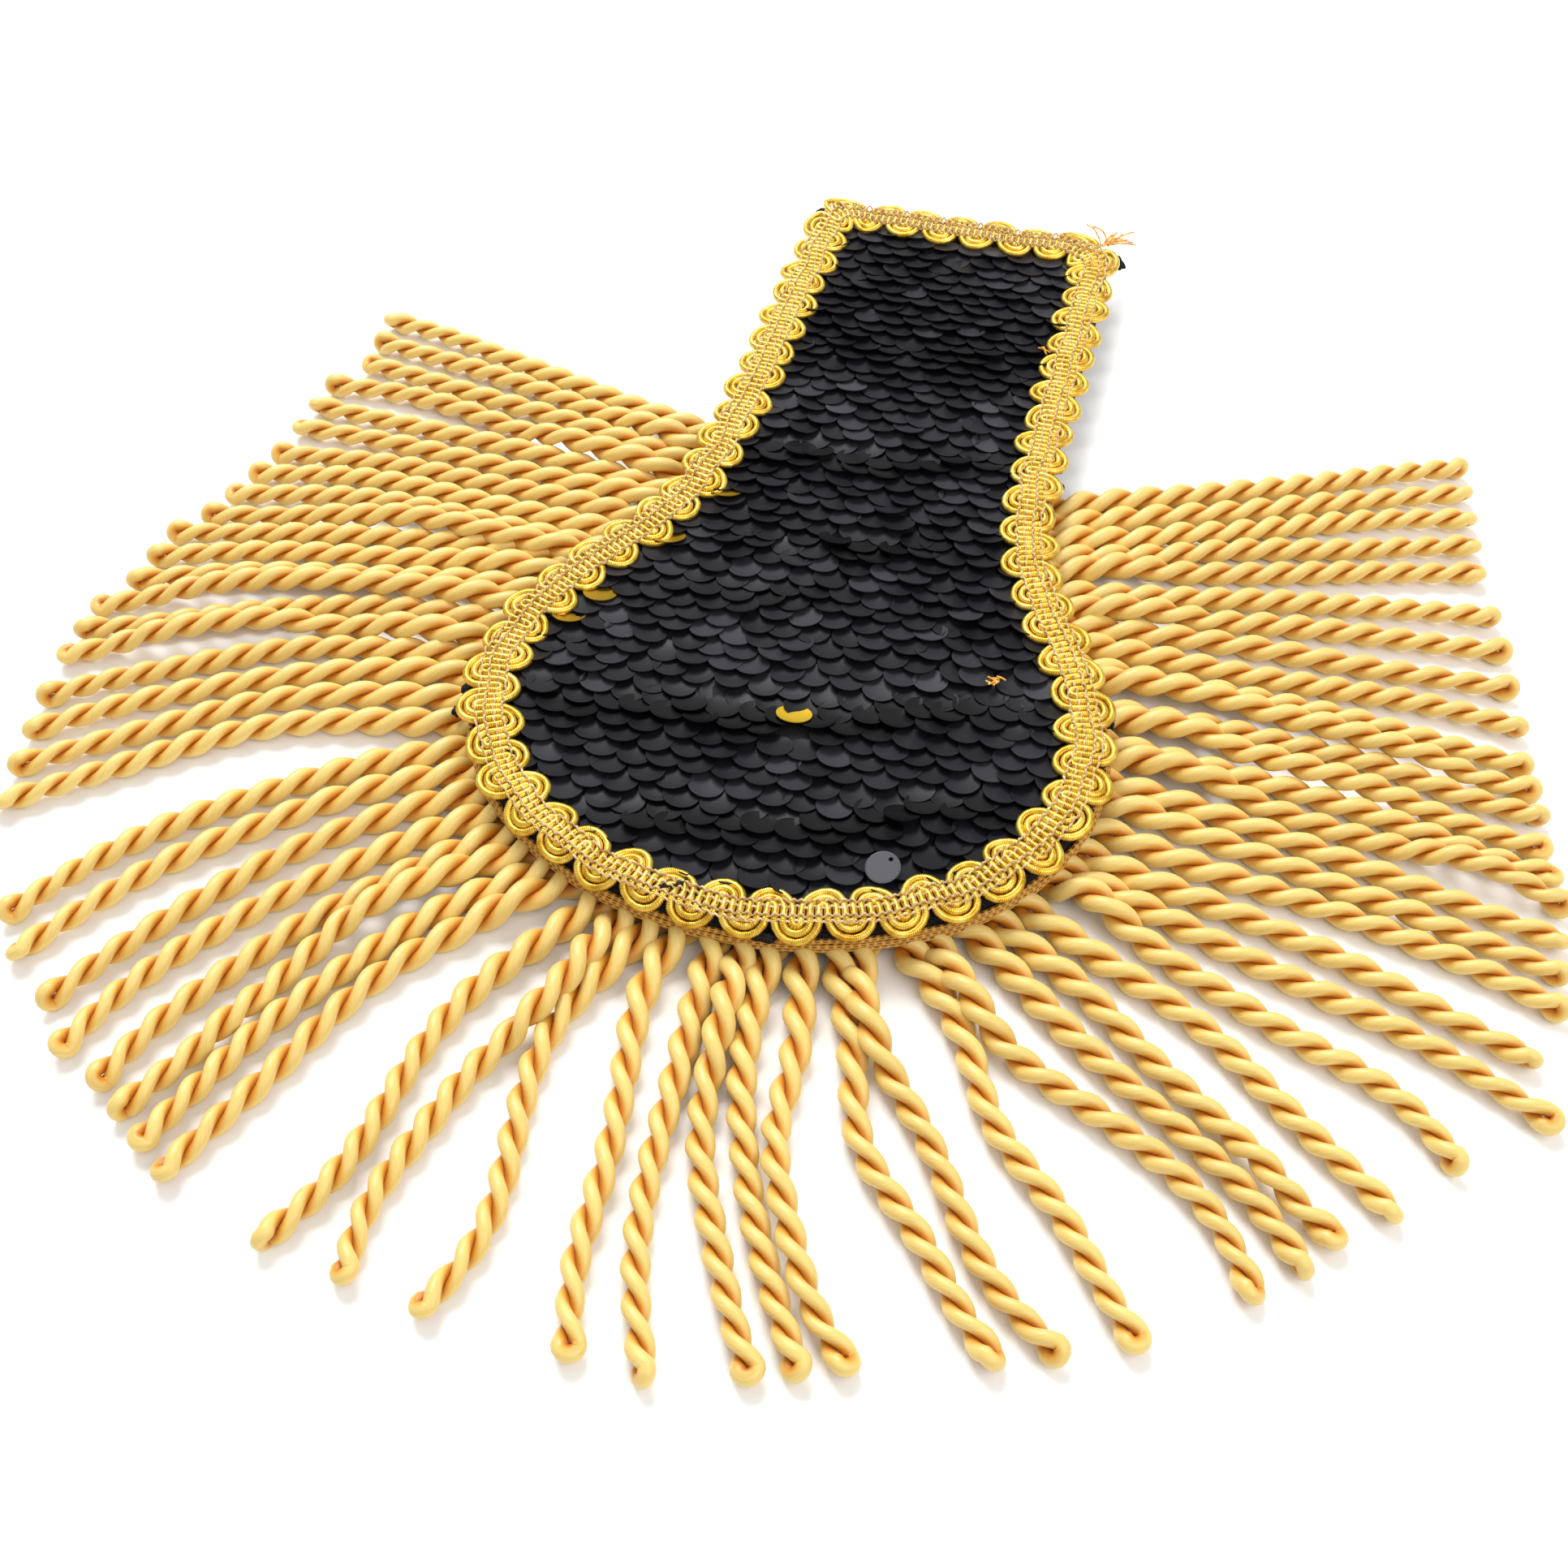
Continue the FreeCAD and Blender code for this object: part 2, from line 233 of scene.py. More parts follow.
class FieldEdge:
    """The closed edge of the sequined area, with places found by their length along it."""

    def __init__(self):
        half = [(width, along) for along, width in FIELD_OUTLINE]
        flank = smooth([(-x, y) for x, y in reversed(half)] + half[1:], SMOOTH_STEPS)
        loop = list(reversed(corner(-1.0))) + flank + corner(1.0)
        self.points = np.array(loop) * MM + np.array((CENTRE_X, TIP_Y))
        self.closed = np.vstack((self.points, self.points[:1]))
        self.lengths = path_length(self.closed)
        self.total = self.lengths[-1]

    def place(self, length):
        """The points at lengths along the edge."""
        wrapped = np.mod(length, self.total)
        x = np.interp(wrapped, self.lengths, self.closed[:, 0])
        y = np.interp(wrapped, self.lengths, self.closed[:, 1])
        return np.stack((x, y), axis=-1)

    def outward(self, length):
        """The outward directions at lengths along the edge, evened over a short stretch."""
        ahead = self.place(length + EVENING_REACH) - self.place(length - EVENING_REACH)
        ahead /= np.linalg.norm(ahead, axis=-1, keepdims=True)
        return np.stack((ahead[..., 1], -ahead[..., 0]), axis=-1)

    def at(self, length, offset):
        """The points at lengths along the edge, moved outwards by the offset."""
        length = np.asarray(length, float)
        place = self.place(length)
        out = self.outward(length)
        in_corner = place[..., 1] > TIP_Y + (FIELD_END - CORNER_ZONE) * MM
        fullness = np.where(in_corner, np.abs(out).max(axis=-1) ** -CORNER_FULLNESS, 1.0)
        return place + out * (np.asarray(offset, float) * fullness)[..., None]


EDGE = FieldEdge()


def front_share(edge_length):
    """How fully a length along the edge lies round the front of the round end, from 0 to 1."""
    nearness = np.clip(1.0 - (EDGE.place(edge_length)[:, 1] - TIP_Y) / FRONT_REACH, 0.0, 1.0)
    return eased(nearness)


def rim_ring(edge_lengths, offset, height):
    """Places along the edge at an offset and a height, drawn in a little round the front."""
    plan = EDGE.at(edge_lengths, offset - RIM_TUCK * front_share(edge_lengths))
    return np.column_stack((plan, np.broadcast_to(height, (len(edge_lengths),))))


# Mesh making

def new_mesh_object(name, verts, faces, uvs=None, fields=None, smooth_faces=True):
    """A mesh object at the origin; uvs has a pair for each face corner, fields a value for each vertex."""
    mesh = bpy.data.meshes.new(name)
    mesh.from_pydata(verts.tolist(), [], faces.tolist() if isinstance(faces, np.ndarray) else faces)
    if uvs is not None:
        layer = mesh.uv_layers.new(name="UVMap")
        layer.data.foreach_set("uv", uvs.astype(np.float32).ravel())
    for field, values in (fields or {}).items():
        attribute = mesh.attributes.new(field, "FLOAT", "POINT")
        attribute.data.foreach_set("value", values.astype(np.float32))
    if smooth_faces:
        mesh.polygons.foreach_set("use_smooth", np.ones(len(mesh.polygons), bool))
    mesh.update()
    piece = bpy.data.objects.new(name, mesh)
    bpy.context.collection.objects.link(piece)
    return piece


class TubeSet:
    """Many tubes gathered into one mesh, with UVs along and round each of them."""

    def __init__(self):
        self.verts = []
        self.faces = []
        self.uvs = []
        self.fields = {}
        self.count = 0

    def add(self, rings, along, closed=False, **fields):
        """One tube through an array of rings by sides by three, closed on itself or capped at both ends."""
        ring_count, sides = rings.shape[:2]
        grid = self.count + np.arange(ring_count * sides).reshape(ring_count, sides)
        start = grid if closed else grid[:-1]
        after = np.roll(grid, -1, axis=0) if closed else grid[1:]
        low = along if closed else along[:-1]
        high = np.append(along[1:], 2 * along[-1] - along[-2]) if closed else along[1:]
        start_turned = np.roll(start, -1, axis=1)
        after_turned = np.roll(after, -1, axis=1)
        quads = np.stack((start, start_turned, after_turned, after), axis=-1).reshape(-1, 4)
        left = np.broadcast_to(np.arange(sides) / sides, start.shape)
        right = left + 1.0 / sides
        low = np.broadcast_to(low[:, None], start.shape)
        high = np.broadcast_to(high[:, None], start.shape)
        uv = np.stack((left, low, right, low, right, high, left, high), axis=-1).reshape(-1, 2)
        self.verts.append(rings.reshape(-1, 3))
        self.faces.append(quads)
        self.uvs.append(uv)
        if not closed:
            self.add_cap(grid[0][::-1], along[0])
            self.add_cap(grid[-1], along[-1])
        for name, values in fields.items():
            spread_values = np.broadcast_to(values, (ring_count, sides)).ravel()
            self.fields.setdefault(name, []).append(spread_values)
        self.count += ring_count * sides

    def add_cap(self, ring, along):
        """The flat end of a tube, in four-cornered faces."""
        odd = np.arange(1, len(ring) - 2, 2)
        first = np.zeros_like(odd)
        self.faces.append(ring[np.stack((first, odd, odd + 1, odd + 2), axis=-1)])
        self.uvs.append(np.tile((0.0, along), (4 * len(odd), 1)))

    def finish(self, name):
        """The mesh object of all the tubes."""
        fields = {field: np.concatenate(values) for field, values in self.fields.items()}
        verts, faces, uvs = (np.vstack(parts) for parts in (self.verts, self.faces, self.uvs))
        return new_mesh_object(name, verts, faces, uvs, fields)


def unit(vectors):
    """Each vector at length one."""
    return vectors / np.maximum(np.linalg.norm(vectors, axis=-1, keepdims=True), SHORTEST)


def tangents(points, closed=False):
    """The direction of travel at each point of a path."""
    if closed:
        return unit(np.roll(points, -1, axis=0) - np.roll(points, 1, axis=0))
    return unit(np.gradient(points, axis=0))


def circle(sides):
    """Even angles once round."""
    return 2 * math.pi * np.arange(sides) / sides


def tube_rings(points, radius, sides, toward=UP, closed=False):
    """Rings of corners round a path; the first corner of each ring faces the way given by toward."""
    forward = tangents(points, closed)
    toward = unit(toward - forward * np.sum(toward * forward, axis=-1, keepdims=True))
    across = np.cross(forward, toward)
    angles = circle(sides)[None, :, None]
    radius = np.broadcast_to(radius, (len(points),))[:, None, None]
    spokes = np.cos(angles) * toward[:, None, :] + np.sin(angles) * across[:, None, :]
    return points[:, None, :] + radius * spokes


# Fringe

def fringe_roots():
    """Each strand's side, root, tip and bow, in order round the fringe."""
    x, y = EDGE.points[:, 0], EDGE.points[:, 1]
    left_flank = np.nonzero((x < CENTRE_X) & (y >= FRINGE_LEFT_START + TIP_Y))[0]
    before_right_end = np.nonzero((x > CENTRE_X) & (y <= FRINGE_RIGHT_END + TIP_Y))[0]
    start = EDGE.lengths[left_flank.max()]
    end = EDGE.lengths[before_right_end.max()]
    pitch = (end - start) / sum(lock[1] for lock in LOCKS)
    strands = []
    for side, count, first_x, first_y, last_x, last_y, bow in LOCKS:
        for index in range(count):
            share = index / max(count - 1, 1)
            tip = np.array((first_x + (last_x - first_x) * share, first_y + (last_y - first_y) * share)) * MM
            place = start + (len(strands) + 0.5) * pitch
            root = EDGE.at(np.array([place]), np.array([ROOT_OFFSET]))[0]
            strands.append((side, root, tip + np.array((CENTRE_X, TIP_Y)), bow * MM))
    return strands


def plan_path(root, tip, bow, looseness, rng):
    """A strand's way over the table in plan: a gentle bow with a slight unevenness."""
    way = tip - root
    right = np.array((way[1], -way[0])) / np.linalg.norm(way)
    middle = (root + tip) / 2 + 2 * bow * right
    t = np.linspace(0.0, 1.0, PATH_POINTS)[:, None]
    path = (1 - t) ** 2 * root + 2 * t * (1 - t) * middle + t * t * tip
    stray = sum(rng.normal(0.0, size) * MM * np.sin(math.pi * waves * t) for waves, size in STRAY_WAVES)
    return path + right * stray * looseness


def crowding(plans, index):
    """How near a strand's neighbours come to each point of its way."""
    nearest = np.full(PATH_POINTS, 1.0)
    for other in (index - 1, index + 1):
        if 0 <= other < len(plans):
            gaps = np.linalg.norm(plans[index][:, None, :] - plans[other][None, :, :], axis=-1)
            nearest = np.minimum(nearest, gaps.min(axis=1))
    return nearest


def lifted_paths(plans):
    """Strands laid on the table, every second one riding up where its neighbours crowd it."""
    paths = []
    kernel = np.hanning(LIFT_EVENING)
    t = np.linspace(0.0, 1.0, PATH_POINTS)
    clear = eased(np.clip((t - LIFT_START) / LIFT_SPAN, 0.0, 1.0))
    for index, plan in enumerate(plans):
        height = np.full(PATH_POINTS, STRAND_RADIUS)
        if index % 2:
            lift = np.sqrt(np.maximum(CLEAR_DISTANCE ** 2 - crowding(plans, index) ** 2, 0.0))
            lift = np.pad(np.minimum(lift, LIFT_LIMIT), LIFT_EVENING // 2, mode="edge")
            height = height + np.convolve(lift, kernel / kernel.sum(), mode="valid") * clear
        paths.append(np.column_stack((plan, height)))
    return paths


def resample(points, step):
    """Even points along a path, about a step apart."""
    lengths = path_length(points)
    count = max(int(round(lengths[-1] / step)), FEWEST_STEPS)
    even = np.linspace(0.0, lengths[-1], count + 1)
    return np.column_stack([np.interp(even, lengths, points[:, axis]) for axis in range(3)])


def ply_directions(forward, lengths, phase, tightness):
    """The directions in which one ply lies off its strand's path as it twists round it."""
    across = unit(np.cross(forward, UP))
    above = np.cross(across, forward)
    share = lengths / lengths[-1]
    pitch = (ROOT_TWIST_PITCH + (TIP_TWIST_PITCH - ROOT_TWIST_PITCH) * np.sqrt(share)) * tightness
    angle = phase + 2 * math.pi * np.concatenate(([0.0], np.cumsum(np.diff(lengths) / pitch[1:])))
    return np.cos(angle)[:, None] * across + np.sin(angle)[:, None] * above


def ply_sizes(lengths, phase):
    """The plies' radius and their distance from the strand's path, fuller at the root and in the knob."""
    share = lengths / lengths[-1]
    knob = np.clip(1.0 - (lengths[-1] - lengths) / KNOB_LENGTH, 0.0, 1.0)
    split = np.clip((ROOT_SPLIT_END - lengths) / ROOT_SPLIT_LENGTH, 0.0, 1.0)
    taper = ROOT_FULLNESS + (TIP_FULLNESS - ROOT_FULLNESS) * share
    swell = 1.0 + PLY_SWELL * np.sin(lengths / PLY_SWELL_LENGTH + phase) + KNOB_FULLNESS * knob
    radius = PLY_RADIUS * taper * swell
    return radius, radius * (PLY_SPREAD + ROOT_SPLIT * split + KNOB_SPREAD * knob)


def add_strand(tubes, path, phase, shade, rng):
    """Two plies twisted round a strand's path and turned back into each other in a knob at its tip."""
    line = resample(path, RING_STEP)
    forward = tangents(line)
    lengths = path_length(line)
    radial = ply_directions(forward, lengths, phase, rng.uniform(*PITCH_VARIATION))
    radius, spread = ply_sizes(lengths, phase)
    offset = radial * spread[:, None]
    half_turn = np.linspace(0.0, math.pi, TIP_LOOP_RINGS + 2)[1:-1, None]
    loop = line[-1] + (np.cos(half_turn) * radial[-1] + np.sin(half_turn) * forward[-1]) * spread[-1]
    centres = np.vstack((line + offset, loop, (line - offset)[::-1]))
    toward = np.vstack((-radial, -unit(loop - line[-1]), radial[::-1]))
    thickness = np.concatenate((radius, np.full(len(loop), radius[-1]), radius[::-1]))
    centres[:, 2] = np.maximum(centres[:, 2], thickness)
    # Painted shade: each ply's side that faces the other ply is marked for a deeper orange, as if shaded in
    # the groove between them
    groove = np.clip((np.cos(circle(PLY_SIDES)) - GROOVE_SHADE_START) / GROOVE_SHADE_SPAN, 0.0, 1.0)
    tubes.add(tube_rings(centres, thickness, PLY_SIDES, toward), path_length(centres),
              groove=groove[None, :], shade=shade)


def make_fringe(strands, material):
    """The bullion strands of each side as one piece."""
    rng = np.random.default_rng(FRINGE_SEED)
    plans = [plan_path(root, tip, bow, LOOSENESS[side], rng) for side, root, tip, bow in strands]
    paths = lifted_paths(plans)
    sets = {}
    for (side, _, _, _), path in zip(strands, paths):
        tubes = sets.setdefault(side, TubeSet())
        add_strand(tubes, path, rng.normal(0.0, START_ANGLE_SPREAD), rng.uniform(0, 1), rng)
    for side, tubes in sets.items():
        piece = tubes.finish("bullion_" + side)
        piece.data.materials.append(material)
        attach(piece, "root")
        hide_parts("bullion_fringe_" + side)


HEADING_STATIONS = 260
HEADING_END = 2.0 * MM
# The heading's section in millimetres
# Columns: offset outside the sequined area, height
HEADING_PROFILE = (
    (-2.5, 4.7),
    (1.5, 4.9),
    (7.6, 4.8),
    (7.9, 4.3),
    (7.5, 3.6),
    (1.5, 3.5),
    (-2.3, 3.5),
    (-2.7, 4.1),
)
# The cords along the heading's edge, in millimetres
# Columns: offset outside the sequined area, height, radius
HEADING_CORDS = (
    (7.8, 4.3, 0.62),
    (8.0, 5.3, 0.50),
    (7.8, 6.2, 0.45),
)
HEADING_CORD_SIDES = 8
HEADING_WANDER = 0.1 * MM
HEADING_WANDER_EVENING = 7
HEADING_WANDER_RISE = 0.6


def nearest_edge_length(place):
    """The length along the edge of its point nearest to a place."""
    return EDGE.lengths[np.argmin(np.linalg.norm(EDGE.points - place, axis=1))]


def make_fringe_tape(strands, material):
    """The woven heading under the board's rim that the strands hang from, with a corded outer edge."""
    start = nearest_edge_length(strands[0][1]) - HEADING_END
    end = nearest_edge_length(strands[-1][1]) + HEADING_END
    places = np.linspace(start, end, HEADING_STATIONS)
    rings = [rim_ring(places, offset * MM, height * MM) for offset, height in HEADING_PROFILE]
    tubes = TubeSet()
    tubes.add(np.stack(rings, axis=1), places - start)
    rng = np.random.default_rng(HEADING_SEED)
    kernel = np.hanning(HEADING_WANDER_EVENING)
    for offset, height, radius in HEADING_CORDS:
        wander = np.convolve(rng.normal(0.0, 1.0, HEADING_STATIONS), kernel, mode="same") * HEADING_WANDER
        line = rim_ring(places, offset * MM + wander, height * MM + HEADING_WANDER_RISE * wander)
        tubes.add(tube_rings(line, radius * MM, HEADING_CORD_SIDES), path_length(line))
    piece = tubes.finish("fringe_tape")
    piece.data.materials.append(material)
    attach(piece, "root")


# Braid

CORD_RADIUS = 0.62 * MM
CORD_STEP = 0.42 * MM
CORD_SIDES = 8
CORDS_IN_BUNDLE = 3
# The braid's swell, and how its outer half is drawn in and droops at the front
BRAID_CROWN = 0.5 * MM
FRONT_TUCK = 0.28
FRONT_DROOP = 1.3 * MM
BRAID_SAMPLES = 2001
BEND_STEPS = 8
BEND_CLEARANCE = 0.9 * CORD_RADIUS
# Places of a cord between two bends, as shares of half its way across
CROSSING_SHARES = (-1.0, -0.33, 0.33)
STITCH_RADIUS = 0.19 * MM
STITCH_SIDES = 5
STITCH_SAMPLES = 4200
STITCH_DIP = 0.34 * MM
STITCH_ZIGZAG = 0.16 * MM
# Distances of the stitched threads from the braid's centre line, in millimetres
STITCH_ROWS = (-2.1, -0.75, 0.75, 2.1)
# The braid's slow drift to and fro, as waves round its whole length
WANDER_WAVES = 6
WANDER_SIZE = 0.13 * MM
WANDER_FIRST = 5
WANDER_STRIDE = 7
WANDER_SHIFT = 1.7


def scroll_path(cord):
    """One cord's way along and across the braid, winding from edge to edge, as (along, across) points."""
    turns = 2 * BRAID_LOOPS
    half_pitch = BRAID.total / turns
    cord_pitch = half_pitch / CORDS_IN_BUNDLE
    bend = half_pitch / 2
    reach = BRAID_WIDTH / 2 - bend - BEND_CLEARANCE - cord_pitch / 2
    points = []
    for turn in range(turns):
        side = 1 if turn % 2 == 0 else -1
        shift = cord * cord_pitch * side
        start = turn * half_pitch
        radius = bend - shift
        for share in CROSSING_SHARES:
            points.append((start + shift, side * share * reach))
        for step in range(BEND_STEPS):
            angle = math.pi * step / BEND_STEPS
            along = start + bend - radius * math.cos(angle)
            points.append((along, side * (reach + radius * math.sin(angle))))
    return np.array(points)


class BraidLine:
    """The braid's centre line, with places found by their length along it and a little unevenness."""

    def __init__(self):
        self.edge_lengths = np.linspace(0, EDGE.total, BRAID_SAMPLES)
        middle = EDGE.at(self.edge_lengths, np.full(BRAID_SAMPLES, BRAID_WIDTH / 2))
        self.lengths = path_length(middle)
        self.total = self.lengths[-1]
        self.waves = np.random.default_rng(BRAID_SEED).normal(0.0, 1.0, (WANDER_WAVES, 3))

    def wander(self, along, row):
        """A slow uneven drift at lengths along the braid; each row has a drift of its own."""
        turn = 2 * math.pi * along / self.total
        drift = sum(size * np.sin((WANDER_FIRST + WANDER_STRIDE * order) * turn + WANDER_SHIFT * order)
                    for order, size in enumerate(self.waves[:, row]))
        return drift * WANDER_SIZE

    def edge_length(self, along):
        """The lengths along the edge that lie beside lengths along the braid."""
        return np.interp(np.mod(along, self.total), self.lengths, self.edge_lengths)

    def at(self, along, across):
        """Places at lengths along the braid and distances across it, its outer half drawn in at the front."""
        edge_length = self.edge_length(along)
        tucked = np.maximum(across, 0.0) * FRONT_TUCK * front_share(edge_length)
        return EDGE.at(edge_length, BRAID_WIDTH / 2 + across - tucked)

    def rise(self, along, across):
        """The braid's swell and its droop over the front rim, at lengths along it and distances across it."""
        crown = BRAID_CROWN * (1 - (2 * across / BRAID_WIDTH) ** 2)
        outer = np.maximum(2 * across / BRAID_WIDTH, 0.0)
        return crown - FRONT_DROOP * outer ** 2 * front_share(self.edge_length(along)) + self.wander(along, 1)


BRAID = BraidLine()


def make_braid(material):
    """Three metal-wrapped cords winding from edge to edge of the braid."""
    cords = TubeSet()
    for cord in (-1, 0, 1):
        flat = scroll_path(cord)
        plan = BRAID.at(flat[:, 0], flat[:, 1] + BRAID.wander(flat[:, 0], 0))
        height = BRAID_BOTTOM + CORD_RADIUS + BRAID.rise(flat[:, 0], flat[:, 1])
        way = np.column_stack((plan, height))
        line = resample(np.vstack((way, way[:1])), CORD_STEP)[:-1]
        cords.add(tube_rings(line, CORD_RADIUS, CORD_SIDES, closed=True), path_length(line), closed=True)
    piece = cords.finish("gimp_cords")
    piece.data.materials.append(material)
    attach(piece, "root")
    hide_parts("gimp_braid")


def make_stitches(material):
    """The thin threads that run along the braid over and under its cords."""
    stitches = TubeSet()
    along = np.linspace(0.0, BRAID.total, STITCH_SAMPLES, endpoint=False)
    cord_pitch = BRAID.total / (2 * BRAID_LOOPS * CORDS_IN_BUNDLE)
    zigzag = STITCH_ZIGZAG * np.sin(math.pi * along / cord_pitch)
    for row, across in enumerate(STITCH_ROWS):
        dip = np.cos(2 * math.pi * along / cord_pitch + row * math.pi) * STITCH_DIP
        plan = BRAID.at(along, across * MM + BRAID.wander(along, 2) + zigzag)
        height = BRAID_BOTTOM + 2 * CORD_RADIUS + BRAID.rise(along, across * MM) + dip
        line = np.column_stack((plan, height))
        rings = tube_rings(line, STITCH_RADIUS, STITCH_SIDES, closed=True)
        stitches.add(rings, path_length(line), closed=True)
    thread = stitches.finish("gimp_stitches")
    thread.data.materials.append(material)
    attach(thread, "root")


# Board and sequins

# The board's rounded rim in millimetres, the same below and above
# Columns: inset from the rim, height from the bottom or top
BOARD_RIM = (
    (1.3, 0.0),
    (0.4, 0.35),
    (0.0, 1.3),
)
# The edge of the sequins' ground cloth in millimetres
# Columns: inset from the board's rim, height
GROUND_RIM = (
    (0.9, 0.0),
    (0.5, 0.15),
    (0.5, 0.3),
    (0.9, 0.45),
)


def ring_slab(name, profile):
    """A flat closed slab whose rim follows the edge through a profile of (offset, height) steps."""
    places = np.linspace(0, EDGE.total, RIM_POINTS, endpoint=False)
    verts = np.vstack([rim_ring(places, offset, height) for offset, height in profile])
    faces = []
    for level in range(len(profile) - 1):
        below = level * RIM_POINTS
        above = below + RIM_POINTS
        for index in range(RIM_POINTS):
            after = (index + 1) % RIM_POINTS
            faces.append((below + index, below + after, above + after, above + index))
    faces.append(tuple(reversed(range(RIM_POINTS))))
    faces.append(tuple(range((len(profile) - 1) * RIM_POINTS, len(profile) * RIM_POINTS)))
    return new_mesh_object(name, verts, faces, smooth_faces=False)


def select_only(piece):
    """One piece selected and active."""
    bpy.ops.object.select_all(action="DESELECT")
    piece.select_set(True)
    bpy.context.view_layer.objects.active = piece


def make_board(material):
    """The padded board in its cloth cover, with a soft rim."""
    rim = [(BOARD_OVERHANG - inset * MM, height * MM) for inset, height in BOARD_RIM]
    profile = [(offset, BOARD_BOTTOM + height) for offset, height in rim]
    profile += [(offset, BOARD_TOP - height) for offset, height in reversed(rim)]
    piece = ring_slab("board_cover", profile)
    piece.data.materials.append(material)
    select_only(piece)
    bpy.ops.object.shade_smooth_by_angle(angle=RIM_SHADE_ANGLE)
    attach(piece, "root")
    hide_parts("board")


# The sequins' size, spacing and lie
SEQUIN_RADIUS = 2.95 * MM
SEQUIN_COLUMN = 5.2 * MM
SEQUIN_ROW = 3.25 * MM
SEQUIN_SIDES = 22
SEQUIN_THICKNESS = 0.16 * MM
SEQUIN_TILT = math.radians(13.0)
SEQUIN_HEIGHT = 0.85 * MM
SEQUIN_MARGIN = 2.2 * MM
SEQUIN_SHADE_ANGLE = math.radians(40.0)
ROW_SWAY = 0.9 * MM
ROW_SWAY_LENGTH = 17 * MM
ROW_START = 1.0 * MM
FIELD_REACH = 52 * MM
SPARE_ROWS = 4
# The cup of a sequin, from its rim inwards, as shares of its radius
RIM_WIDTH = 0.22
CUP_WIDTH = 0.3
CUP_STEP = 0.10 * MM
# How unevenly the sequins lie: their places in millimetres, their turns in radians and their tone
UNEVEN_PLACE = (0.28, 0.22)
UNEVEN_TILT = 0.045
UNEVEN_ROLL = 0.06
UNEVEN_SPIN = 0.10
UNEVEN_TONE = 0.12
FLAT_FACE = 0.9
# How the cloth's slope tilts and lifts a sequin and lightens it as painted light, and how a crease darkens it
# as painted shade
SLOPE_STEP = 0.5 * MM
SLOPE_TILT = 1.3
SWELL_SHARE = 0.5
MIDDLE_TONE = 0.46
SLOPE_PAINTED_LIGHT = 2.6
CREASE_PAINTED_SHADE = 1.1

# Creases across the cloth in millimetres from the centre line and the round end's tip
# Columns: left x, left y, right x, right y, half width, depth
CREASES = (
    (-24.0, 100.0, 24.0, 109.0, 3.4, 0.50),
    (-8.0, 80.0, 16.0, 83.5, 3.0, 0.45),
    (-36.0, 31.0, 38.0, 50.0, 4.2, 0.60),
    (-24.0, 9.5, 38.0, 28.5, 3.6, 0.48),
    (-30.0, 62.0, 2.0, 68.0, 3.2, 0.28),
    (-23.0, 136.0, 23.0, 141.0, 5.0, 0.24),
)
# How a crease wavers on its way and fades out towards its ends
CREASE_WAVER = 1.6
CREASE_WAVER_TURNS = 9.0
CREASE_REACH = 1.6
CREASE_FADE = 1.2
# Gentle waves of the cloth: heights in millimetres and the lengths over which they turn
SWELL_ALONG = 0.20
SWELL_ALONG_LENGTH = 9.5 * MM
SWELL_BEND = 0.6
SWELL_BEND_LENGTH = 21 * MM
SWELL_ACROSS = 0.16
SWELL_ACROSS_LENGTH = 13 * MM
SWELL_SKEW_LENGTH = 31 * MM
# Sequins that lie gold side up, in millimetres from the centre line and the round end's tip
# Columns: x, y, how far the edge peeks out below its neighbour
GOLD_SEQUINS = (
    (1.5, 41.0, 2.3),
    (-41.2, 51.0, 0.6),
    (-37.6, 57.2, 0.5),
    (-30.4, 73.0, 0.5),
    (-24.6, 87.5, 0.5),
)
GOLD_TILT = -0.10
GOLD_SINK = 0.10 * MM
# A gold sequin's tone: a base, then painted light the further it peeks out, so slivers under their neighbours
# carry painted shade
GOLD_TONE = 0.2
GOLD_PEEK_PAINTED_LIGHT = 0.3
# The loose sequin: place in millimetres, size against the others, height over the cloth and its turns
LOOSE_SEQUIN = (22.8, 11.3)
LOOSE_SEQUIN_DROP = 3.0
LOOSE_SEQUIN_SIZE = 0.92
LOOSE_SEQUIN_HEIGHT = 3.0 * MM
LOOSE_SEQUIN_TILT = math.radians(12.0)
LOOSE_SEQUIN_ROLL = math.radians(-4.0)
LOOSE_SEQUIN_SIDES = 20
LOOSE_SEQUIN_BEVEL = 0.93
LOOSE_SEQUIN_RIM = 0.625
SEWING_HOLE = (0.9, 1.5)
SEWING_HOLE_RADIUS = 0.36
# The spot with no sequins round the largest gold one, in millimetres
# Columns: x, y, radius
BARE_PATCH = (3.4, 36.6, 2.6)


def crease_depth(x, y):
    """How deep the cloth is creased at a place, in millimetres."""
    total = 0.0
    for left_x, left_y, right_x, right_y, half_width, depth in CREASES:
        share = ((x - CENTRE_X) / MM - left_x) / (right_x - left_x)
        middle = left_y + (right_y - left_y) * share + CREASE_WAVER * np.sin(CREASE_WAVER_TURNS * share)
        fade = np.clip(CREASE_REACH - np.abs(2 * share - 1) * CREASE_FADE, 0.0, 1.0)
        total = total + depth * fade * np.exp(-(((y - TIP_Y) / MM - middle) / half_width) ** 2)
    return total


def field_swell(x, y):
    """Height of the sequined cloth's gentle waves and creases over the flat."""
    along = SWELL_ALONG * np.sin(y / SWELL_ALONG_LENGTH + SWELL_BEND * np.sin(x / SWELL_BEND_LENGTH))
    across = SWELL_ACROSS * np.sin(x / SWELL_ACROSS_LENGTH + y / SWELL_SKEW_LENGTH)
    return (along + across - crease_depth(x, y)) * MM


def inside_field(x, y, margin):
    """Whether a place lies inside the edge of the sequined area grown by the margin."""
    half = np.array(FIELD_OUTLINE) * MM
    along = y - TIP_Y
    width = max(np.interp(along, half[:, 0], half[:, 1]), np.interp(along + margin, half[:, 0], half[:, 1]))
    return abs(x - CENTRE_X) < width + margin and -margin < along < FIELD_END * MM + margin


